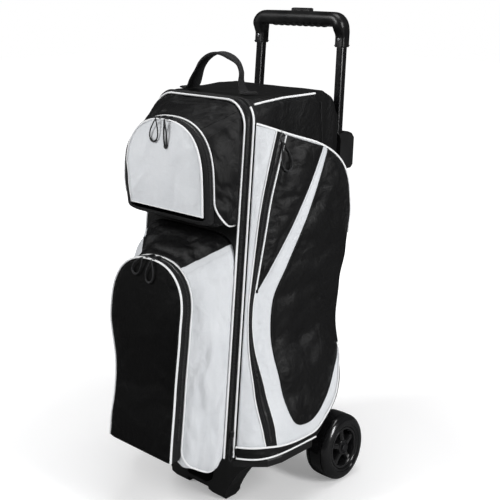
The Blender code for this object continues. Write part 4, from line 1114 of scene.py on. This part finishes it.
rim = track("rim", RIM - 0.0006, -0.0004)
rim_l, rim_t, rim_r = rim[:66], rim[65:-65], rim[-66:]
tube("body_rim_piping_left", rim_l, 0.0021, PIPING, "bag", "white_fabric")
tube("body_rim_piping_right", rim_r, 0.0021, PIPING, "bag", "white_fabric")
tube("body_rim_binding_top", rim_t, 0.0020, BIND, "bag", "black_fabric")
A, B = track("rim", RIM - 0.0010, 0.0012), track("mid", DOOR_BACK + 0.0006, 0.0)
sheet("main_zip_tape_bag", np.array([A * (1 - t) + B * t for t in np.linspace(0, 1, 5)]), TAPE, "bag", "zip_tape",
      want=front_want, thick=0.0012, replaces=["main_zip_track"])
A2, B2 = track("mid", DOOR_BACK - 0.0002, 0.0, 0.1200), track("face", DOOR_FRONT + 0.0003, -0.0006, 0.1200)
sheet("main_zip_tape_door", np.array([A2 * (1 - t) + B2 * t for t in np.linspace(0, 1, 5)]), TAPE, "door", "zip_tape",
      want=front_want, thick=0.0012)
n_band = unit(np.cross(np.gradient(A2, axis=0), B2 - A2))
n_band *= np.sign((n_band * np.array([front_want(a) for a in A2])).sum(1, keepdims=True))
mid_line = track("mid", DOOR_BACK, 0.0, 0.1300)
n_mid = unit(np.cross(np.gradient(mid_line, axis=0), track("face", DOOR_FRONT, 0, 0.1300) - mid_line))
n_mid *= np.sign((n_mid * np.array([front_want(a) for a in mid_line])).sum(1, keepdims=True))
off = unit(np.cross(n_mid, unit(np.gradient(mid_line, axis=0))))
for tagc, body, sgn in (("bag", "bag", 1), ("door", "door", -1)):
    beads("main_zip_coil_" + tagc, mid_line + off * 0.0012 * sgn * (1 if np.dot(off[5], A[5] - B[5]) > 0 else -1), n_mid, 0.0026,
          (0.0013, 0.0030, 0.0013), COIL, body, "zip_tape", lift=0.0008)
for k, frac, ring_a, ring_b, body in (("bag", 0.35, A, B, "bag"), ("door", 0.65, A2, B2, "door")):
    line = ring_a * (1 - frac) + ring_b * frac
    nn2 = unit(np.cross(np.gradient(line, axis=0), ring_b - ring_a))
    nn2 *= np.sign((nn2 * np.array([front_want(a) for a in line])).sum(1, keepdims=True))
    beads("main_zip_stitch_" + k, line, nn2, 0.0033, (0.0022, 0.0006, 0.0004), THREAD_B, body, "zip_tape", lift=0.0004)

# piping along the top edge of each side, then the seam that drops from it
for side, tag in ((1, "right"), (-1, "left")):
    path = []
    for y in np.linspace(0.0165, 0.1920, 60):
        z = 0.7853
        yl = y - LEAN * z
        top, rt, hw = station(min(max(yl, RIM), BACK))
        c = 0.7071
        path.append(sh(side * (hw - rt + rt * c + 0.0004), yl, top - rt + rt * c + 0.0004))
    tube("top_edge_piping_" + tag, walk(path, 50), 0.0021, PIPING, "bag", "white_fabric")
    seam = []
    for z in np.linspace(0.7680, 0.6560, 30):
        seam.append(np.array([side * (HALF_W + 0.0003), 0.2065 + (0.768 - z) * 0.03 + S, z]))
    tube("side_seam_" + tag, seam, 0.0011, BIND, "bag", "black_fabric", n=6)
    beads("side_seam_stitch_" + tag, np.array(seam) + np.array([0, -0.0035, 0]), np.array([side, 0, 0.0]), 0.0032,
          (0.0021, 0.0006, 0.0004), THREAD_B, "bag", "black_fabric", lift=0.0002)

# ------------------------------------------------------------ door plate
n = 5
ringo = track("mid", DOOR_BACK - 0.0001, 0.0012, 0.1195)
ringi = track("face", DOOR_FRONT, 0.0006, 0.1195)
rows = [ringo * (1 - t) + ringi * t for t in np.linspace(0, 1, 4)]
P = np.array(rows)
base = P.reshape(-1, 3)
nc = P.shape[1]
faces = grid_faces(4, nc) + [tuple(3 * nc + i for i in range(nc))] + [tuple([j * nc for j in range(4)] + [3 * nc + nc - 1] + [j * nc + nc - 1 for j in (2, 1, 0)])]
uv = np.stack([base[:, 0], base[:, 2]], 1)
door = make("door_cloth", base, faces, None, "door", "black_fabric", uv, mats=[BLACK, LINING], thick=0.0040,
            replaces=["main_door"])
door.modifiers["thickness"].material_offset = 1
tube("door_edge_piping", track("face", DOOR_FRONT - 0.0008, -0.0010, 0.1230), 0.0020, PIPING, "door", "white_fabric")


# ------------------------------------------------------------ pocket trim
def norms_of(ring, P):
    """Directions out from a closed or open ring in the flap's plane."""
    t = unit(np.gradient(ring, axis=0))
    n = unit(np.cross(t, P.out))
    c = ring.mean(0)
    return n * np.sign(((ring - c) * n).sum(1, keepdims=True))


for P, G, ringA, gus, flap_body in ((SHOE, SG, SA, shoe_gusset, "shoe_cover"), (ACC, AG, AA, acc_gusset, "accessory_cover")):
    soft = 6 if P.name == "shoe" else 16
    inner_soft = 3 if P.name == "shoe" else 8
    fr = P.ring(-0.0047, 0.0004, inner_soft)
    back = P.ring(P.n0, 0.0, soft)
    close = lambda r: np.concatenate([r, r[:1]])
    c0 = P.at(0, P.vc, 0)
    ks = np.linspace(0, 1, 9)
    band = np.array([close(P.ring(-0.0014 * (1 - k) + P.n0 * k, 0.0002 * (1 - k), int(round(inner_soft * (1 - k) + soft * k))))
                     for k in ks])
    along_band = lambda f: (band[int(f * 8)] * (1 - (f * 8) % 1) + band[min(8, int(f * 8) + 1)] * ((f * 8) % 1))[:-1]
    sheet(P.name + "_zip_band", band, TAPE, "door", "zip_tape", want=lambda a, c0=c0: a - c0, thick=0.0014)
    # coil midway on the arch and sides
    arch = slice(5, K_END - 5) if P.name == "shoe" else slice(14, K_END - 14)
    midr = along_band(0.55)[arch]
    nn3 = norms_of(midr, P)
    beads(P.name + "_zip_coil", midr, nn3, 0.0024, (0.0012, 0.0046, 0.0012), COIL, "door", "zip_tape", lift=0.0004,
          zig=0.0005)
    for k, f in (("front", 0.30), ("rear", 0.85)):
        line = along_band(f)[arch]
        beads(P.name + "_zip_stitch_" + k, line, norms_of(line, P), 0.0032, (0.0022, 0.0006, 0.0004), THREAD_B, "door",
              "zip_tape", lift=0.0002)
    # piping: round the flap's arch, and where the gusset meets the band
    edge = P.flap_ring(0.0, 0.0012, 0.0012) + P.out * 0.0007
    if P.name == "shoe":
        tube("shoe_flap_piping", edge, 0.0020, PIPING, flap_body, "white_fabric")
    else:
        tube("accessory_flap_binding", edge, 0.0016, PIPING, flap_body, "white_fabric")
    # the rear piping follows the band, then turns back along the pocket's foot to the door
    gp = coords(gus.data)[:G.shape[0] * G.shape[1]].reshape(G.shape)
    upn = SGN if P.name == "shoe" else AGN
    kr, kl = (134, 0) if P.name == "shoe" else (102, 0)
    cut = 3 if P.name == "shoe" else 13
    nrw = gp.shape[0]

    def bend(k0, step):
        """Quarter turn on the cloth, from the band's edge to the pocket's foot at the door."""
        out = []
        for th in np.linspace(0, math.pi / 2, 40):
            r_, c_ = (nrw - 1) * (1 - math.cos(th)), k0 - step * cut * (1 - math.sin(th))
            r0, c0_ = min(int(r_), nrw - 2), int(math.floor(c_))
            fr_, fc = r_ - r0, c_ - c0_
            mix = lambda A_: ((A_[r0, c0_] * (1 - fc) + A_[r0, c0_ + 1] * fc) * (1 - fr_)
                              + (A_[r0 + 1, c0_] * (1 - fc) + A_[r0 + 1, c0_ + 1] * fc) * fr_)
            out.append(mix(gp) + unit(mix(upn)) * 0.0007)
        return np.array(out)
    arc = gp[0, kl + cut + 1:kr - cut]
    rp = np.concatenate([bend(kl, -1)[::-1], arc + norms_of(arc, P) * 0.0007, bend(kr, 1)])
    rp = walk(rp, 260)
    for _ in range(4):
        rp[1:-1] = (rp[:-2] + 2 * rp[1:-1] + rp[2:]) / 4
    tube(P.name + "_gusset_piping", rp, 0.0019, PIPING, "door", "white_fabric")
    # top-stitching inside the flap's edge
    src = coords((shoe_flap_o if P.name == "shoe" else acc_flap_o).data)
    Gf = SF if P.name == "shoe" else AF
    src = src.reshape(Gf.shape)
    path = np.concatenate([src[2:-3, 3], src[-3, 3:-3], src[2:-3, -4][::-1]])
    path = walk(path, 200)
    beads(P.name + "_flap_stitch", path, P.out, 0.0031, (0.0021, 0.0006, 0.0004),
          THREAD_B if P.name == "shoe" else THREAD_W, flap_body, "black_fabric" if P.name == "shoe" else "white_fabric",
          lift=0.0001)
    # hem along the flap's foot
    foot = src[0, 1:-1]
    tube(P.name + "_flap_hem", foot + P.out * -0.0006 + P.up * 0.0012, 0.0012, BLACK_DEEP if P.name == "shoe" else PIPING,
         flap_body, "black_fabric", n=6)

# seams on the gussets and a stitch line each side of them
def gusset_col(obj, G, k):
    return coords(obj.data)[:G.shape[0] * G.shape[1]].reshape(G.shape)[:, k]


for obj, G, up, ks, name, mat in ((shoe_gusset, SG, SGN, (44, 90), "shoe_seam", THREAD_W),
                                  (acc_gusset, AG, AGN, (34, 68), "hood_seam", THREAD_B)):
    for q, k in enumerate(ks):
        line = gusset_col(obj, G, k)
        tube("%s_%d" % (name, q), line + up[:, k] * 0.0001, 0.0008, BLACK if name == "hood_seam" else BIND, "door", "black_fabric",
             n=6)
        dk = 3 if q == 0 else -3
        line2 = gusset_col(obj, G, k + (3 if q else -3))
        beads("%s_stitch_%d" % (name, q), line2[1:-1], up[1:-1, k + (3 if q else -3)], 0.0031, (0.0021, 0.0006, 0.0004), mat, "door",
              "panel_fabric", lift=0.0002)
for o, body, slot, rep in list(PIECES):
    if o is shoe_gusset:
        PIECES.remove((o, body, slot, rep)); PIECES.append((o, body, slot, ("shoe_pocket",)))
    if o is acc_gusset:
        PIECES.remove((o, body, slot, rep)); PIECES.append((o, body, slot, ("accessory_pocket",)))

# ------------------------------------------------------------ carry strap
S_PATH = [(-.1120, .7915), (-.0925, .7915), (-.0885, .7955), (-.0800, .8120), (-.0675, .8335), (-.0520, .8510),
          (-.0320, .8625), (-.0100, .8665), (.0120, .8630), (.0320, .8540), (.0455, .8435), (.0500, .8320), (.0490, .8180),
          (.0515, .8030), (.0555, .7955), (.0600, .7915), (.0800, .7915)]
path = curve(S_PATH, 110)
tt = unit(np.gradient(path, axis=0))
nn4 = np.stack([-tt[:, 1], tt[:, 0]], 1)
yc = 0.060 + S
rows = []
prof = [(-.0185, 0.0), (-.019, .0008), (-.019, .0024), (-.0175, .0031), (-.009, .0032), (0, .0031), (.009, .0032),
        (.0175, .0031), (.019, .0024), (.019, .0008), (.0185, 0.0), (.009, .0), (0, 0), (-.009, 0)]
s_along = np.linspace(0, 1, len(path))
ring_rows, frames_s = [], []
for k, (x, z) in enumerate(path):
    u_ = s_along[k]
    narrow = 1.0 - 0.34 * float(smooth((u_ - 0.12) / 0.16) * smooth((0.90 - u_) / 0.14))
    thick_ = 1.0 + 0.7 * float(smooth((u_ - 0.22) / 0.08) * smooth((0.74 - u_) / 0.08))
    tw = 0.42 * float(smooth((u_ - 0.60) / 0.14) * smooth((0.96 - u_) / 0.10))
    nrm_ = np.array([nn4[k][0], 0, nn4[k][1]])
    wid = np.array([0, 1.0, 0])
    w2 = wid * math.cos(tw) - nrm_ * math.sin(tw)
    n2 = nrm_ * math.cos(tw) + wid * math.sin(tw)
    c = np.array([x, yc, z])
    frames_s.append((c, w2, n2, narrow, thick_))
    ring = [c + w2 * y * narrow + n2 * h * thick_ for y, h in prof]
    ring_rows.append(ring + ring[:1])
RW = np.array(ring_rows)
nr, nc = RW.shape[:2]
uv = np.array([[(i / (nc - 1)) * 0.076, k * 0.0035] for k in range(nr) for i in range(nc)])
make("carry_strap_webbing", RW.reshape(-1, 3), grid_faces(nr, nc) + [tuple(range(nc - 1)), tuple((nr - 1) * nc + i for i in range(nc - 1))],
     WEB, "bag", "webbing", uv, weld=True, replaces=["carry_strap"], smooth_angle=50)
for k, yy in (("front", -0.0155), ("rear", 0.0155)):
    line = np.array([c + w2 * yy * nw + n2 * 0.0031 * tk for c, w2, n2, nw, tk in frames_s])
    beads("strap_stitch_" + k, line[3:-3], np.array([f[2] for f in frames_s])[3:-3], 0.0036, (0.0025, 0.0007, 0.0005),
          THREAD_B, "bag", "webbing")
for k, x0, x1 in (("left", -.110, -.094), ("right", .062, .078)):
    box = [(x0, -.014), (x1, -.014), (x1, .014), (x0, .014), (x0, -.014), (x1, .014), (x1, -.014), (x0, .014)]
    line = walk([[x, yc + y, .7948] for x, y in box], 160)
    beads("strap_box_stitch_" + k, line, (0, 0, 1.0), 0.0034, (0.0024, 0.0007, 0.0005), THREAD_B, "bag", "webbing")

# ------------------------------------------------------------ back cover
lo_b, hi_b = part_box("back_panel")
def channel_sheet(name, z0, z1, hw, depth, mat, slot, node, wr):
    rows = []
    for z in np.linspace(z0, z1, 60):
        d = depth if not callable(depth) else depth(z)
        r = 0.014
        ring = [(-hw, BACK + 0.0006)]
        ring += [(-hw + r + r * math.cos(a), BACK + d - r + r * math.sin(a)) for a in np.linspace(math.pi, math.pi / 2, 9)]
        ring += [(x, BACK + d) for x in np.linspace(-hw + r, hw - r, 30)[1:-1]]
        ring += [(hw - r + r * math.cos(a), BACK + d - r + r * math.sin(a)) for a in np.linspace(math.pi / 2, 0, 9)]
        ring += [(hw, BACK + 0.0006)]
        rows.append([sh(x, y - wr * (0.5 + 0.5 * fbm((x, 0.3, z), 13, 7.0, 3)) * smooth((y - BACK) / 0.02), z) for x, y in ring])
    return sheet(name, np.array(rows), mat, "bag", slot, want=lambda a: (a[0] * 0.3, 1, 0), thick=0.0026, replaces=[node])


channel_sheet("back_cover_cloth", .3008, .6158, .1345, .0300, BLACK, "black_fabric", "back_panel", 0.0022)
for k, z in (("low", .3030), ("high", .6135)):
    ring = [(-.1345, BACK + .004)] + [(-.1345 + .014 + .014 * math.cos(a), BACK + .030 - .014 + .014 * math.sin(a))
            for a in np.linspace(math.pi, math.pi / 2, 8)] + [(.1345 - .014 + .014 * math.cos(a), BACK + .030 - .014 + .014 * math.sin(a))
            for a in np.linspace(math.pi / 2, 0, 8)] + [(.1345, BACK + .004)]
    tube("back_cover_binding_" + k, np.array([sh(x, y, z) for x, y in ring]), 0.0022, BIND, "bag", "black_fabric", n=8)
for side, tag in ((1, "right"), (-1, "left")):
    line = np.array([sh(side * 0.088, BACK + 0.0302, z) for z in np.linspace(.306, .610, 60)])
    tube("back_cover_piping_" + tag, line, 0.0019, PIPING, "bag", "white_fabric", n=8)
    beads("back_cover_stitch_" + tag, line + np.array([side * -0.005, 0, 0]), (0, 1.0, -LEAN), 0.0032, (0.0022, 0.0006, 0.0004),
          THREAD_B, "bag", "black_fabric", lift=-0.0006)

# ------------------------------------------------------------ handle grip
tlo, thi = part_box("handle_tube_right")
TX = (tlo.x + thi.x) / 2
TR = (thi.x - tlo.x) / 2
slo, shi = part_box("grip_socket_right")
glo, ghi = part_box("grip")


def tube_y(z):
    return thi.y - TR + LEAN * (z - thi.z)


half_path = [(TX, slo.z), (TX, slo.z + .010), (TX, slo.z + .022), (TX, slo.z + .032), (TX - .0008, slo.z + .039)]
cr, bar_z = 0.0185, 0.9335
cx, cz_ = TX - .0008 - cr, bar_z - cr
half_path += [(cx + cr * math.cos(a), cz_ + cr * math.sin(a)) for a in np.linspace(0.12, math.pi / 2, 9)]
half_path += [(x, bar_z + 0.0006 * (1 - (x / cx) ** 2)) for x in np.linspace(cx, 0, 40)[1:]]
GP = np.array(half_path)
GP = np.concatenate([GP, GP[:-1][::-1] * np.array([-1, 1])])
GP = walk(GP, 170)
gt = unit(np.gradient(GP, axis=0))
gs = lens(GP) / lens(GP)[-1]
rings = []
for k, (x, z) in enumerate(GP):
    e = min(gs[k], 1 - gs[k])
    f1 = float(smooth((e - 0.060) / 0.090))        # 0 at the sockets, 1 on the bar
    p_, d_, o_ = 0.0250 + 0.0080 * f1, 0.0248 + 0.0130 * f1, -0.0070 * f1
    power = 5.0 - 2.4 * f1
    wave = 0.0022 * (0.5 + 0.5 * math.cos(2 * math.pi * x / 0.0178)) * float(smooth((0.088 - abs(x)) / 0.02)) if f1 > 0.9 else 0.0
    nn5 = np.array([-gt[k][1], gt[k][0]])          # towards the inside of the bend
    ring = []
    for i in range(36):
        a = 2 * math.pi * i / 36
        c, s_ = math.cos(a), math.sin(a)
        hp = math.copysign(abs(c) ** (2 / power), c) * p_ / 2
        dp = math.copysign(abs(s_) ** (2 / power), s_) * d_ / 2
        if hp > 0:
            hp += wave * max(0.0, c) ** 0.7
        y = tube_y(z) + o_ + dp + (0.0030 * f1 if hp > 0 and dp < 0 else 0.0) * max(0.0, c)
        ring.append(np.array([x + nn5[0] * hp, y, z + nn5[1] * hp]))
    rings.append(ring)
RG = np.array(rings)
v = RG.reshape(-1, 3)
f = []
for k in range(len(rings) - 1):
    for i in range(36):
        j = (i + 1) % 36
        f.append((k * 36 + i, k * 36 + j, (k + 1) * 36 + j, (k + 1) * 36 + i))
f += [tuple(range(36))[::-1], tuple((len(rings) - 1) * 36 + i for i in range(36))]
make("handle_grip_moulded", v, f, GRIP, "handle", "grip_plastic", smooth_angle=60,
     replaces=["grip", "grip_socket_left", "grip_socket_right"])
# collar lines where each socket ends
for side, tag in ((1, "right"), (-1, "left")):
    ring = []
    for i in range(40):
        a = 2 * math.pi * i / 40
        c, s_ = math.cos(a), math.sin(a)
        z = slo.z + 0.0035
        ring.append(np.array([side * TX + math.copysign(abs(c) ** 0.4, c) * 0.0129, tube_y(z) + math.copysign(abs(s_) ** 0.4, s_) * 0.0128, z]))
    tube("socket_lip_" + tag, np.array(ring), 0.0012, GRIP, "handle", "grip_plastic", closed=True, n=8)

# ------------------------------------------------------------ wheels


def lathe(name, prof, c, side, mat, body, slot, seg=96, rep_=(), angle=35):
    """Closed (x, r) outline turned about the axle; x is measured outwards."""
    v, f, m_ = [], [], len(prof)
    for i in range(seg):
        a = 2 * math.pi * i / seg
        for x, r in prof:
            v.append((side * x, c.y + r * math.cos(a), c.z + r * math.sin(a)))
    for i in range(seg):
        j = (i + 1) % seg
        for k in range(m_):
            q = (k + 1) % m_
            f.append((i * m_ + k, i * m_ + q, j * m_ + q, j * m_ + k))
    return make(name, v, f, mat, body, slot, smooth_angle=angle, replaces=rep_)


wlo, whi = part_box("wheel_tyre_right")
hlo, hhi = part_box("wheel_hub_right")
XI, XO, RT, RH = wlo.x, whi.x, (whi.z - wlo.z) / 2, (hhi.z - hlo.z) / 2
for side, tag in ((1, "right"), (-1, "left")):
    body = "wheel_" + tag
    T0 = [(XI + .0006, RH + .0004), (XI + .0002, RH + .006), (XI + .0012, RT - .0080), (XI + .0040, RT - .0032),
          (XI + .0085, RT - .0010), (XI + .0130, RT - .0004), (XI + .0136, RT - .0022), (XI + .0152, RT - .0022),
          (XI + .0158, RT - .0003), (XI + .0230, RT), (XO - .0230, RT), (XO - .0158, RT - .0003), (XO - .0152, RT - .0022),
          (XO - .0136, RT - .0022), (XO - .0130, RT - .0004), (XO - .0085, RT - .0012), (XO - .0045, RT - .0038),
          (XO - .0014, RT - .0085), (XO - .0002, RT - .0135), (XO - .0006, RT - .0170), (XO - .0022, RT - .0178),
          (XO - .0026, RT - .0205), (XO - .0040, RH + .0004)]
    lathe("wheel_tyre_moulded_" + tag, T0, WHEEL_C, side, TREAD, body, "wheel_tread", rep_=["wheel_tyre_" + tag])
    rim_p = [(hlo.x + .001, RH), (hlo.x + .001, RH - .0060), (hlo.x + .0080, RH - .0070), (hhi.x - .0150, RH - .0078),
             (hhi.x - .0040, RH - .0060), (hhi.x - .0020, RH - .0050), (hhi.x - .0016, RH - .0012), (hhi.x - .0030, RH)]
    lathe("wheel_rim_" + tag, rim_p, WHEEL_C, side, HUB, body, "hub_plastic", rep_=["wheel_hub_" + tag])
    boss = [(hlo.x + .0062, .0120), (hlo.x + .0062, .0150), (hlo.x + .0120, .0168), (hhi.x - .0150, .0168),
            (hhi.x - .0040, .0150), (hhi.x - .0022, .0138), (hhi.x - .0022, .0118), (hhi.x - .0060, .0112)]
    lathe("wheel_boss_" + tag, boss, WHEEL_C, side, HUB, body, "hub_plastic")
    web = [(hlo.x + .0200, .0150), (hlo.x + .0200, RH - .0040), (hlo.x + .0235, RH - .0040), (hlo.x + .0235, .0150)]
    lathe("wheel_web_" + tag, web, WHEEL_C, side, HUB, body, "hub_plastic")
    v, f = [], []
    for k in range(5):
        a0 = 2 * math.pi * k / 5 + math.pi / 10
        for r, w, dx in ((.0145, .0062, .0000), (.0220, .0048, .0016), (.0300, .0050, .0026), (RH - .0045, .0074, .0022)):
            base_i = len(v)
            for xx, ww in ((hlo.x + .0100, w), (hhi.x - .0040 - dx - .0022, w), (hhi.x - .0034 - dx, w * 0.62)):
                for sg in (-1, 1):
                    da = sg * ww / r
                    v.append((side * xx, WHEEL_C.y + r * math.cos(a0 + da), WHEEL_C.z + r * math.sin(a0 + da)))
        b0 = len(v) - 24
        for q in range(3):
            A_, B_ = b0 + q * 6, b0 + (q + 1) * 6
            for m1, m2 in ((0, 2), (2, 4), (4, 5), (5, 3), (3, 1), (1, 0)):
                f.append((A_ + m1, A_ + m2, B_ + m2, B_ + m1))
        f.append((b0, b0 + 1, b0 + 3, b0 + 5, b0 + 4, b0 + 2))
        e0 = b0 + 18
        f.append((e0, e0 + 2, e0 + 4, e0 + 5, e0 + 3, e0 + 1))
    make("wheel_spokes_" + tag, v, f, HUB, body, "hub_plastic", smooth_angle=30)

# ------------------------------------------------------------ zip pulls


def teardrop(width, length, n=64):
    """Loop of cord hanging from (0, 0): (sideways, down)."""
    out = []
    for i in range(n):
        t = 2 * math.pi * i / n
        x = width / 2 * math.sin(t) * (0.5 - 0.5 * math.cos(t)) ** 0.62 / 0.80
        out.append((x, -length * (0.5 - 0.5 * math.cos(t))))
    return out


def hang(name, top, side_dir, down_dir, off, width, length, body, r=0.00125, rep_=()):
    pts = [np.array(top) + np.array(side_dir) * x - np.array(down_dir) * z + np.array(off) for x, z in teardrop(width, length)]
    o = tube(name, np.array(pts), r, CORD, body, "pull_cord", closed=True, n=10)
    for q in range(len(PIECES)):
        if PIECES[q][0] is o:
            PIECES[q] = (o, body, "pull_cord", tuple(rep_))
    # moulded tip at the foot of the loop
    k = len(pts)
    tip = np.array(pts)[int(k * 0.40):int(k * 0.60) + 1]
    tube(name + "_tip", tip, r * 1.55, CORD, body, "pull_cord", n=10)


for key, tag, wd, ln, tilt, dx in (("accessory", "left", .0250, .0460, -.18, -.0030), ("accessory", "right", .0090, .0540, .08, .0020),
                                   ("shoe", "left", .0230, .0400, -.62, -.0040), ("shoe", "right", .0230, .0430, -.10, .0020)):
    node = "%s_zip_%s_pull" % (key, tag)
    lo_, hi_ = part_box(node)
    P = SHOE if key == "shoe" else ACC
    top = np.array([(lo_.x + hi_.x) / 2 + dx, lo_.y if key == "accessory" else lo_.y + 0.0005, hi_.z - 0.0025])
    top = np.array([top[0], float(P.at(0, 0, 0.0)[1] + P.up[1] / P.up[2] * (hi_.z - P.z0)) - 0.0042, top[2]])
    dn = -P.up * math.cos(tilt) + EX * math.sin(tilt)
    sd = EX * math.cos(tilt) + P.up * math.sin(tilt)
    hang(node + "_cord", top, sd, dn, P.out * 0.0050, wd, ln, node + "_body", 0.0013 if wd > .02 else 0.0016, [node])
for side, tag in ((1, "right"), (-1, "left")):
    node = "side_zip_%s_pull" % tag
    p, n_ = surf(np.array([[.0512, .7060], [.0592, .6480]]), 0.0, side)
    dn = unit(p[1] - p[0])
    sd = unit(np.cross(dn, n_[0]))
    hang(node + "_cord", p[0], sd, dn, n_[0] * 0.0062, .0240, .0560, node + "_body", 0.0014, [node])

# ------------------------------------------------------------ CAD nodes that stay
LOOK = {"base_tray": PLASTIC, "front_stand": PLASTIC, "kick_plate": PLASTIC, "handle_collar": PLASTIC,
        "axle_carrier_left": PLASTIC, "axle_carrier_right": PLASTIC, "grip": GRIP, "grip_socket_left": GRIP,
        "grip_socket_right": GRIP, "release_button": BUTTON, "handle_tube_left": TUBE, "handle_tube_right": TUBE,
        "guide_tube_left": STEEL, "guide_tube_right": STEEL, "grip_rivet_left": BRIGHT, "grip_rivet_right": BRIGHT,
        "lock_rod_left": BRIGHT, "lock_rod_right": BRIGHT, "wheel_axle": BRIGHT, "axle_nut_left": DARKMETAL,
        "axle_nut_right": DARKMETAL, "back_board": BOARD, "ball_cup_floor": FOAM, "ball_divider_lower": FOAM,
        "ball_divider_upper": FOAM, "wheel_tyre_left": TREAD, "wheel_tyre_right": TREAD, "wheel_hub_left": HUB,
        "wheel_hub_right": HUB}
for n_, o in NODES.items():
    if n_.startswith("bearing"):
        LOOK[n_] = DARKMETAL
    elif n_.endswith("_slider"):
        LOOK[n_] = ZIPMETAL
    elif n_.endswith("_pull"):
        LOOK[n_] = CORD
for n_, mt in LOOK.items():
    o = NODES[n_]
    o.data.materials.clear()
    o.data.materials.append(mt)
    for p in o.data.polygons:
        p.material_index = 0
    if n_.endswith("_pull"):
        md = o.modifiers.new("round", "SUBSURF")
        md.levels = md.render_levels = 2
        o.data.shade_smooth()
    elif n_ in ("base_tray", "front_stand", "kick_plate", "handle_collar", "axle_carrier_left", "axle_carrier_right",
                "release_button", "ball_cup_floor", "ball_divider_lower", "ball_divider_upper") or n_.endswith("_slider"):
        w = {"base_tray": .0012, "front_stand": .0016, "kick_plate": .0010, "handle_collar": .0016,
             "release_button": .0006}.get(n_, .0012)
        if n_.endswith("_slider"):
            w = .0004
        md = o.modifiers.new("edge", "BEVEL")
        md.width, md.segments, md.limit_method, md.angle_limit = w, 2, "ANGLE", math.radians(35)
        o.data.shade_smooth()
        o.data.set_sharp_from_angle(angle=math.radians(50))
    else:
        o.data.shade_smooth()
        o.data.set_sharp_from_angle(angle=math.radians(38))

# ------------------------------------------------------------ hand over to the frame
for o, body, slot, rep in PIECES:
    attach(o, body)
    if rep:
        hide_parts(*rep)

# ------------------------------------------------------------ stage, light, camera
me = bpy.data.meshes.new("floor")
R_ = 9.0
me.from_pydata([(-R_, -R_, 0), (R_, -R_, 0), (R_, R_, 0), (-R_, R_, 0)], [], [(0, 1, 2, 3)])
floor = bpy.data.objects.new("floor", me)
bpy.context.scene.collection.objects.link(floor)
FM = Mat("floor_pale")
_gl = FM.n("ShaderNodeLightPath").outputs["Is Glossy Ray"]      # darker in reflections, as on a dark sweep
FM.put(FM.b.inputs["Base Color"], FM.mix(_gl, FM.mix(FM.noise(FM.coord("Object"), 3.0), (0.90, 0.90, 0.905), (0.93, 0.93, 0.935)),
                                         (0.12, 0.12, 0.12)))
FM.b.inputs["Roughness"].default_value = 0.75
FM.b.inputs["Specular IOR Level"].default_value = 0.2
FM.b.inputs["Emission Color"].default_value = (1, 1, 1, 1)
_far = FM.n("ShaderNodeVectorMath", operation="LENGTH")
FM.put(_far.inputs[0], FM.coord("Object"))
_cam = FM.n("ShaderNodeLightPath")                  # the glow is for the backdrop only, it lights nothing
FM.put(FM.b.inputs["Emission Strength"], FM.math("MULTIPLY", FM.ramp(_far.outputs["Value"], 0.5, 1.8, 0.22, 0.80),
                                                 _cam.outputs["Is Camera Ray"]))
me.materials.append(FM.m)

world = bpy.data.worlds.new("studio")
bpy.context.scene.world = world
world.use_nodes = True
wn = world.node_tree
bg = wn.nodes["Background"]
bg.inputs["Color"].default_value = (1, 1, 1, 1)
seen = wn.nodes.new("ShaderNodeLightPath")
level = wn.nodes.new("ShaderNodeMapRange")          # softer as a light than as the backdrop
level.inputs["To Min"].default_value = 0.28
level.inputs["To Max"].default_value = 1.0
dim = wn.nodes.new("ShaderNodeMapRange")            # darker still in reflections, for crisp highlights
dim.inputs["To Min"].default_value = 1.0
dim.inputs["To Max"].default_value = 0.16
both = wn.nodes.new("ShaderNodeMath")
both.operation = "MULTIPLY"
wn.links.new(seen.outputs["Is Camera Ray"], level.inputs["Value"])
wn.links.new(seen.outputs["Is Glossy Ray"], dim.inputs["Value"])
wn.links.new(level.outputs["Result"], both.inputs[0])
wn.links.new(dim.outputs["Result"], both.inputs[1])
wn.links.new(both.outputs[0], bg.inputs["Strength"])
bpy.context.scene.view_settings.view_transform = "Standard"


def area(name, loc, aim, size, power):
    d = bpy.data.lights.new(name, "AREA")
    d.shape = "RECTANGLE"
    d.size, d.size_y = size
    d.energy = power
    o = bpy.data.objects.new(name, d)
    o.location = loc
    o.rotation_euler = (Vector(aim) - Vector(loc)).to_track_quat("-Z", "Y").to_euler()
    bpy.context.scene.collection.objects.link(o)
    return o


area("key", (-1.3, -2.6, 2.2), (0, -0.05, 0.45), (0.9, 1.4), 66)
area("side", (2.6, 0.2, 1.5), (0.1, 0.0, 0.45), (0.6, 1.7), 54)
area("top", (0.2, 0.2, 3.0), (0, 0, 0.4), (1.4, 1.4), 26)

HERO = (1.4537, -1.4025 + S, 1.03)
cam_d = bpy.data.cameras.new("camera")
cam = bpy.data.objects.new("camera", cam_d)
bpy.context.scene.collection.objects.link(cam)
cam.location = HERO
cam.rotation_euler = (math.radians(90), 0, math.radians(43.3))
cam_d.lens, cam_d.sensor_width = 72, 36
cam_d.clip_start = 0.02
bpy.context.scene.camera = cam
# the view camera is level, with its lens shifted down; other views are not shifted
drv = cam_d.driver_add("shift_y").driver
drv.type = "SCRIPTED"
for nm, axis in (("x", "LOC_X"), ("y", "LOC_Y")):
    var = drv.variables.new()
    var.name = nm
    var.type = "TRANSFORMS"
    var.targets[0].id = cam
    var.targets[0].transform_type = axis
    var.targets[0].transform_space = "WORLD_SPACE"
drv.expression = "-0.55 if abs(x-%.5f)+abs(y-%.5f) < 0.002 else 0.0" % (HERO[0], HERO[1])
cam_d.shift_y = -0.55
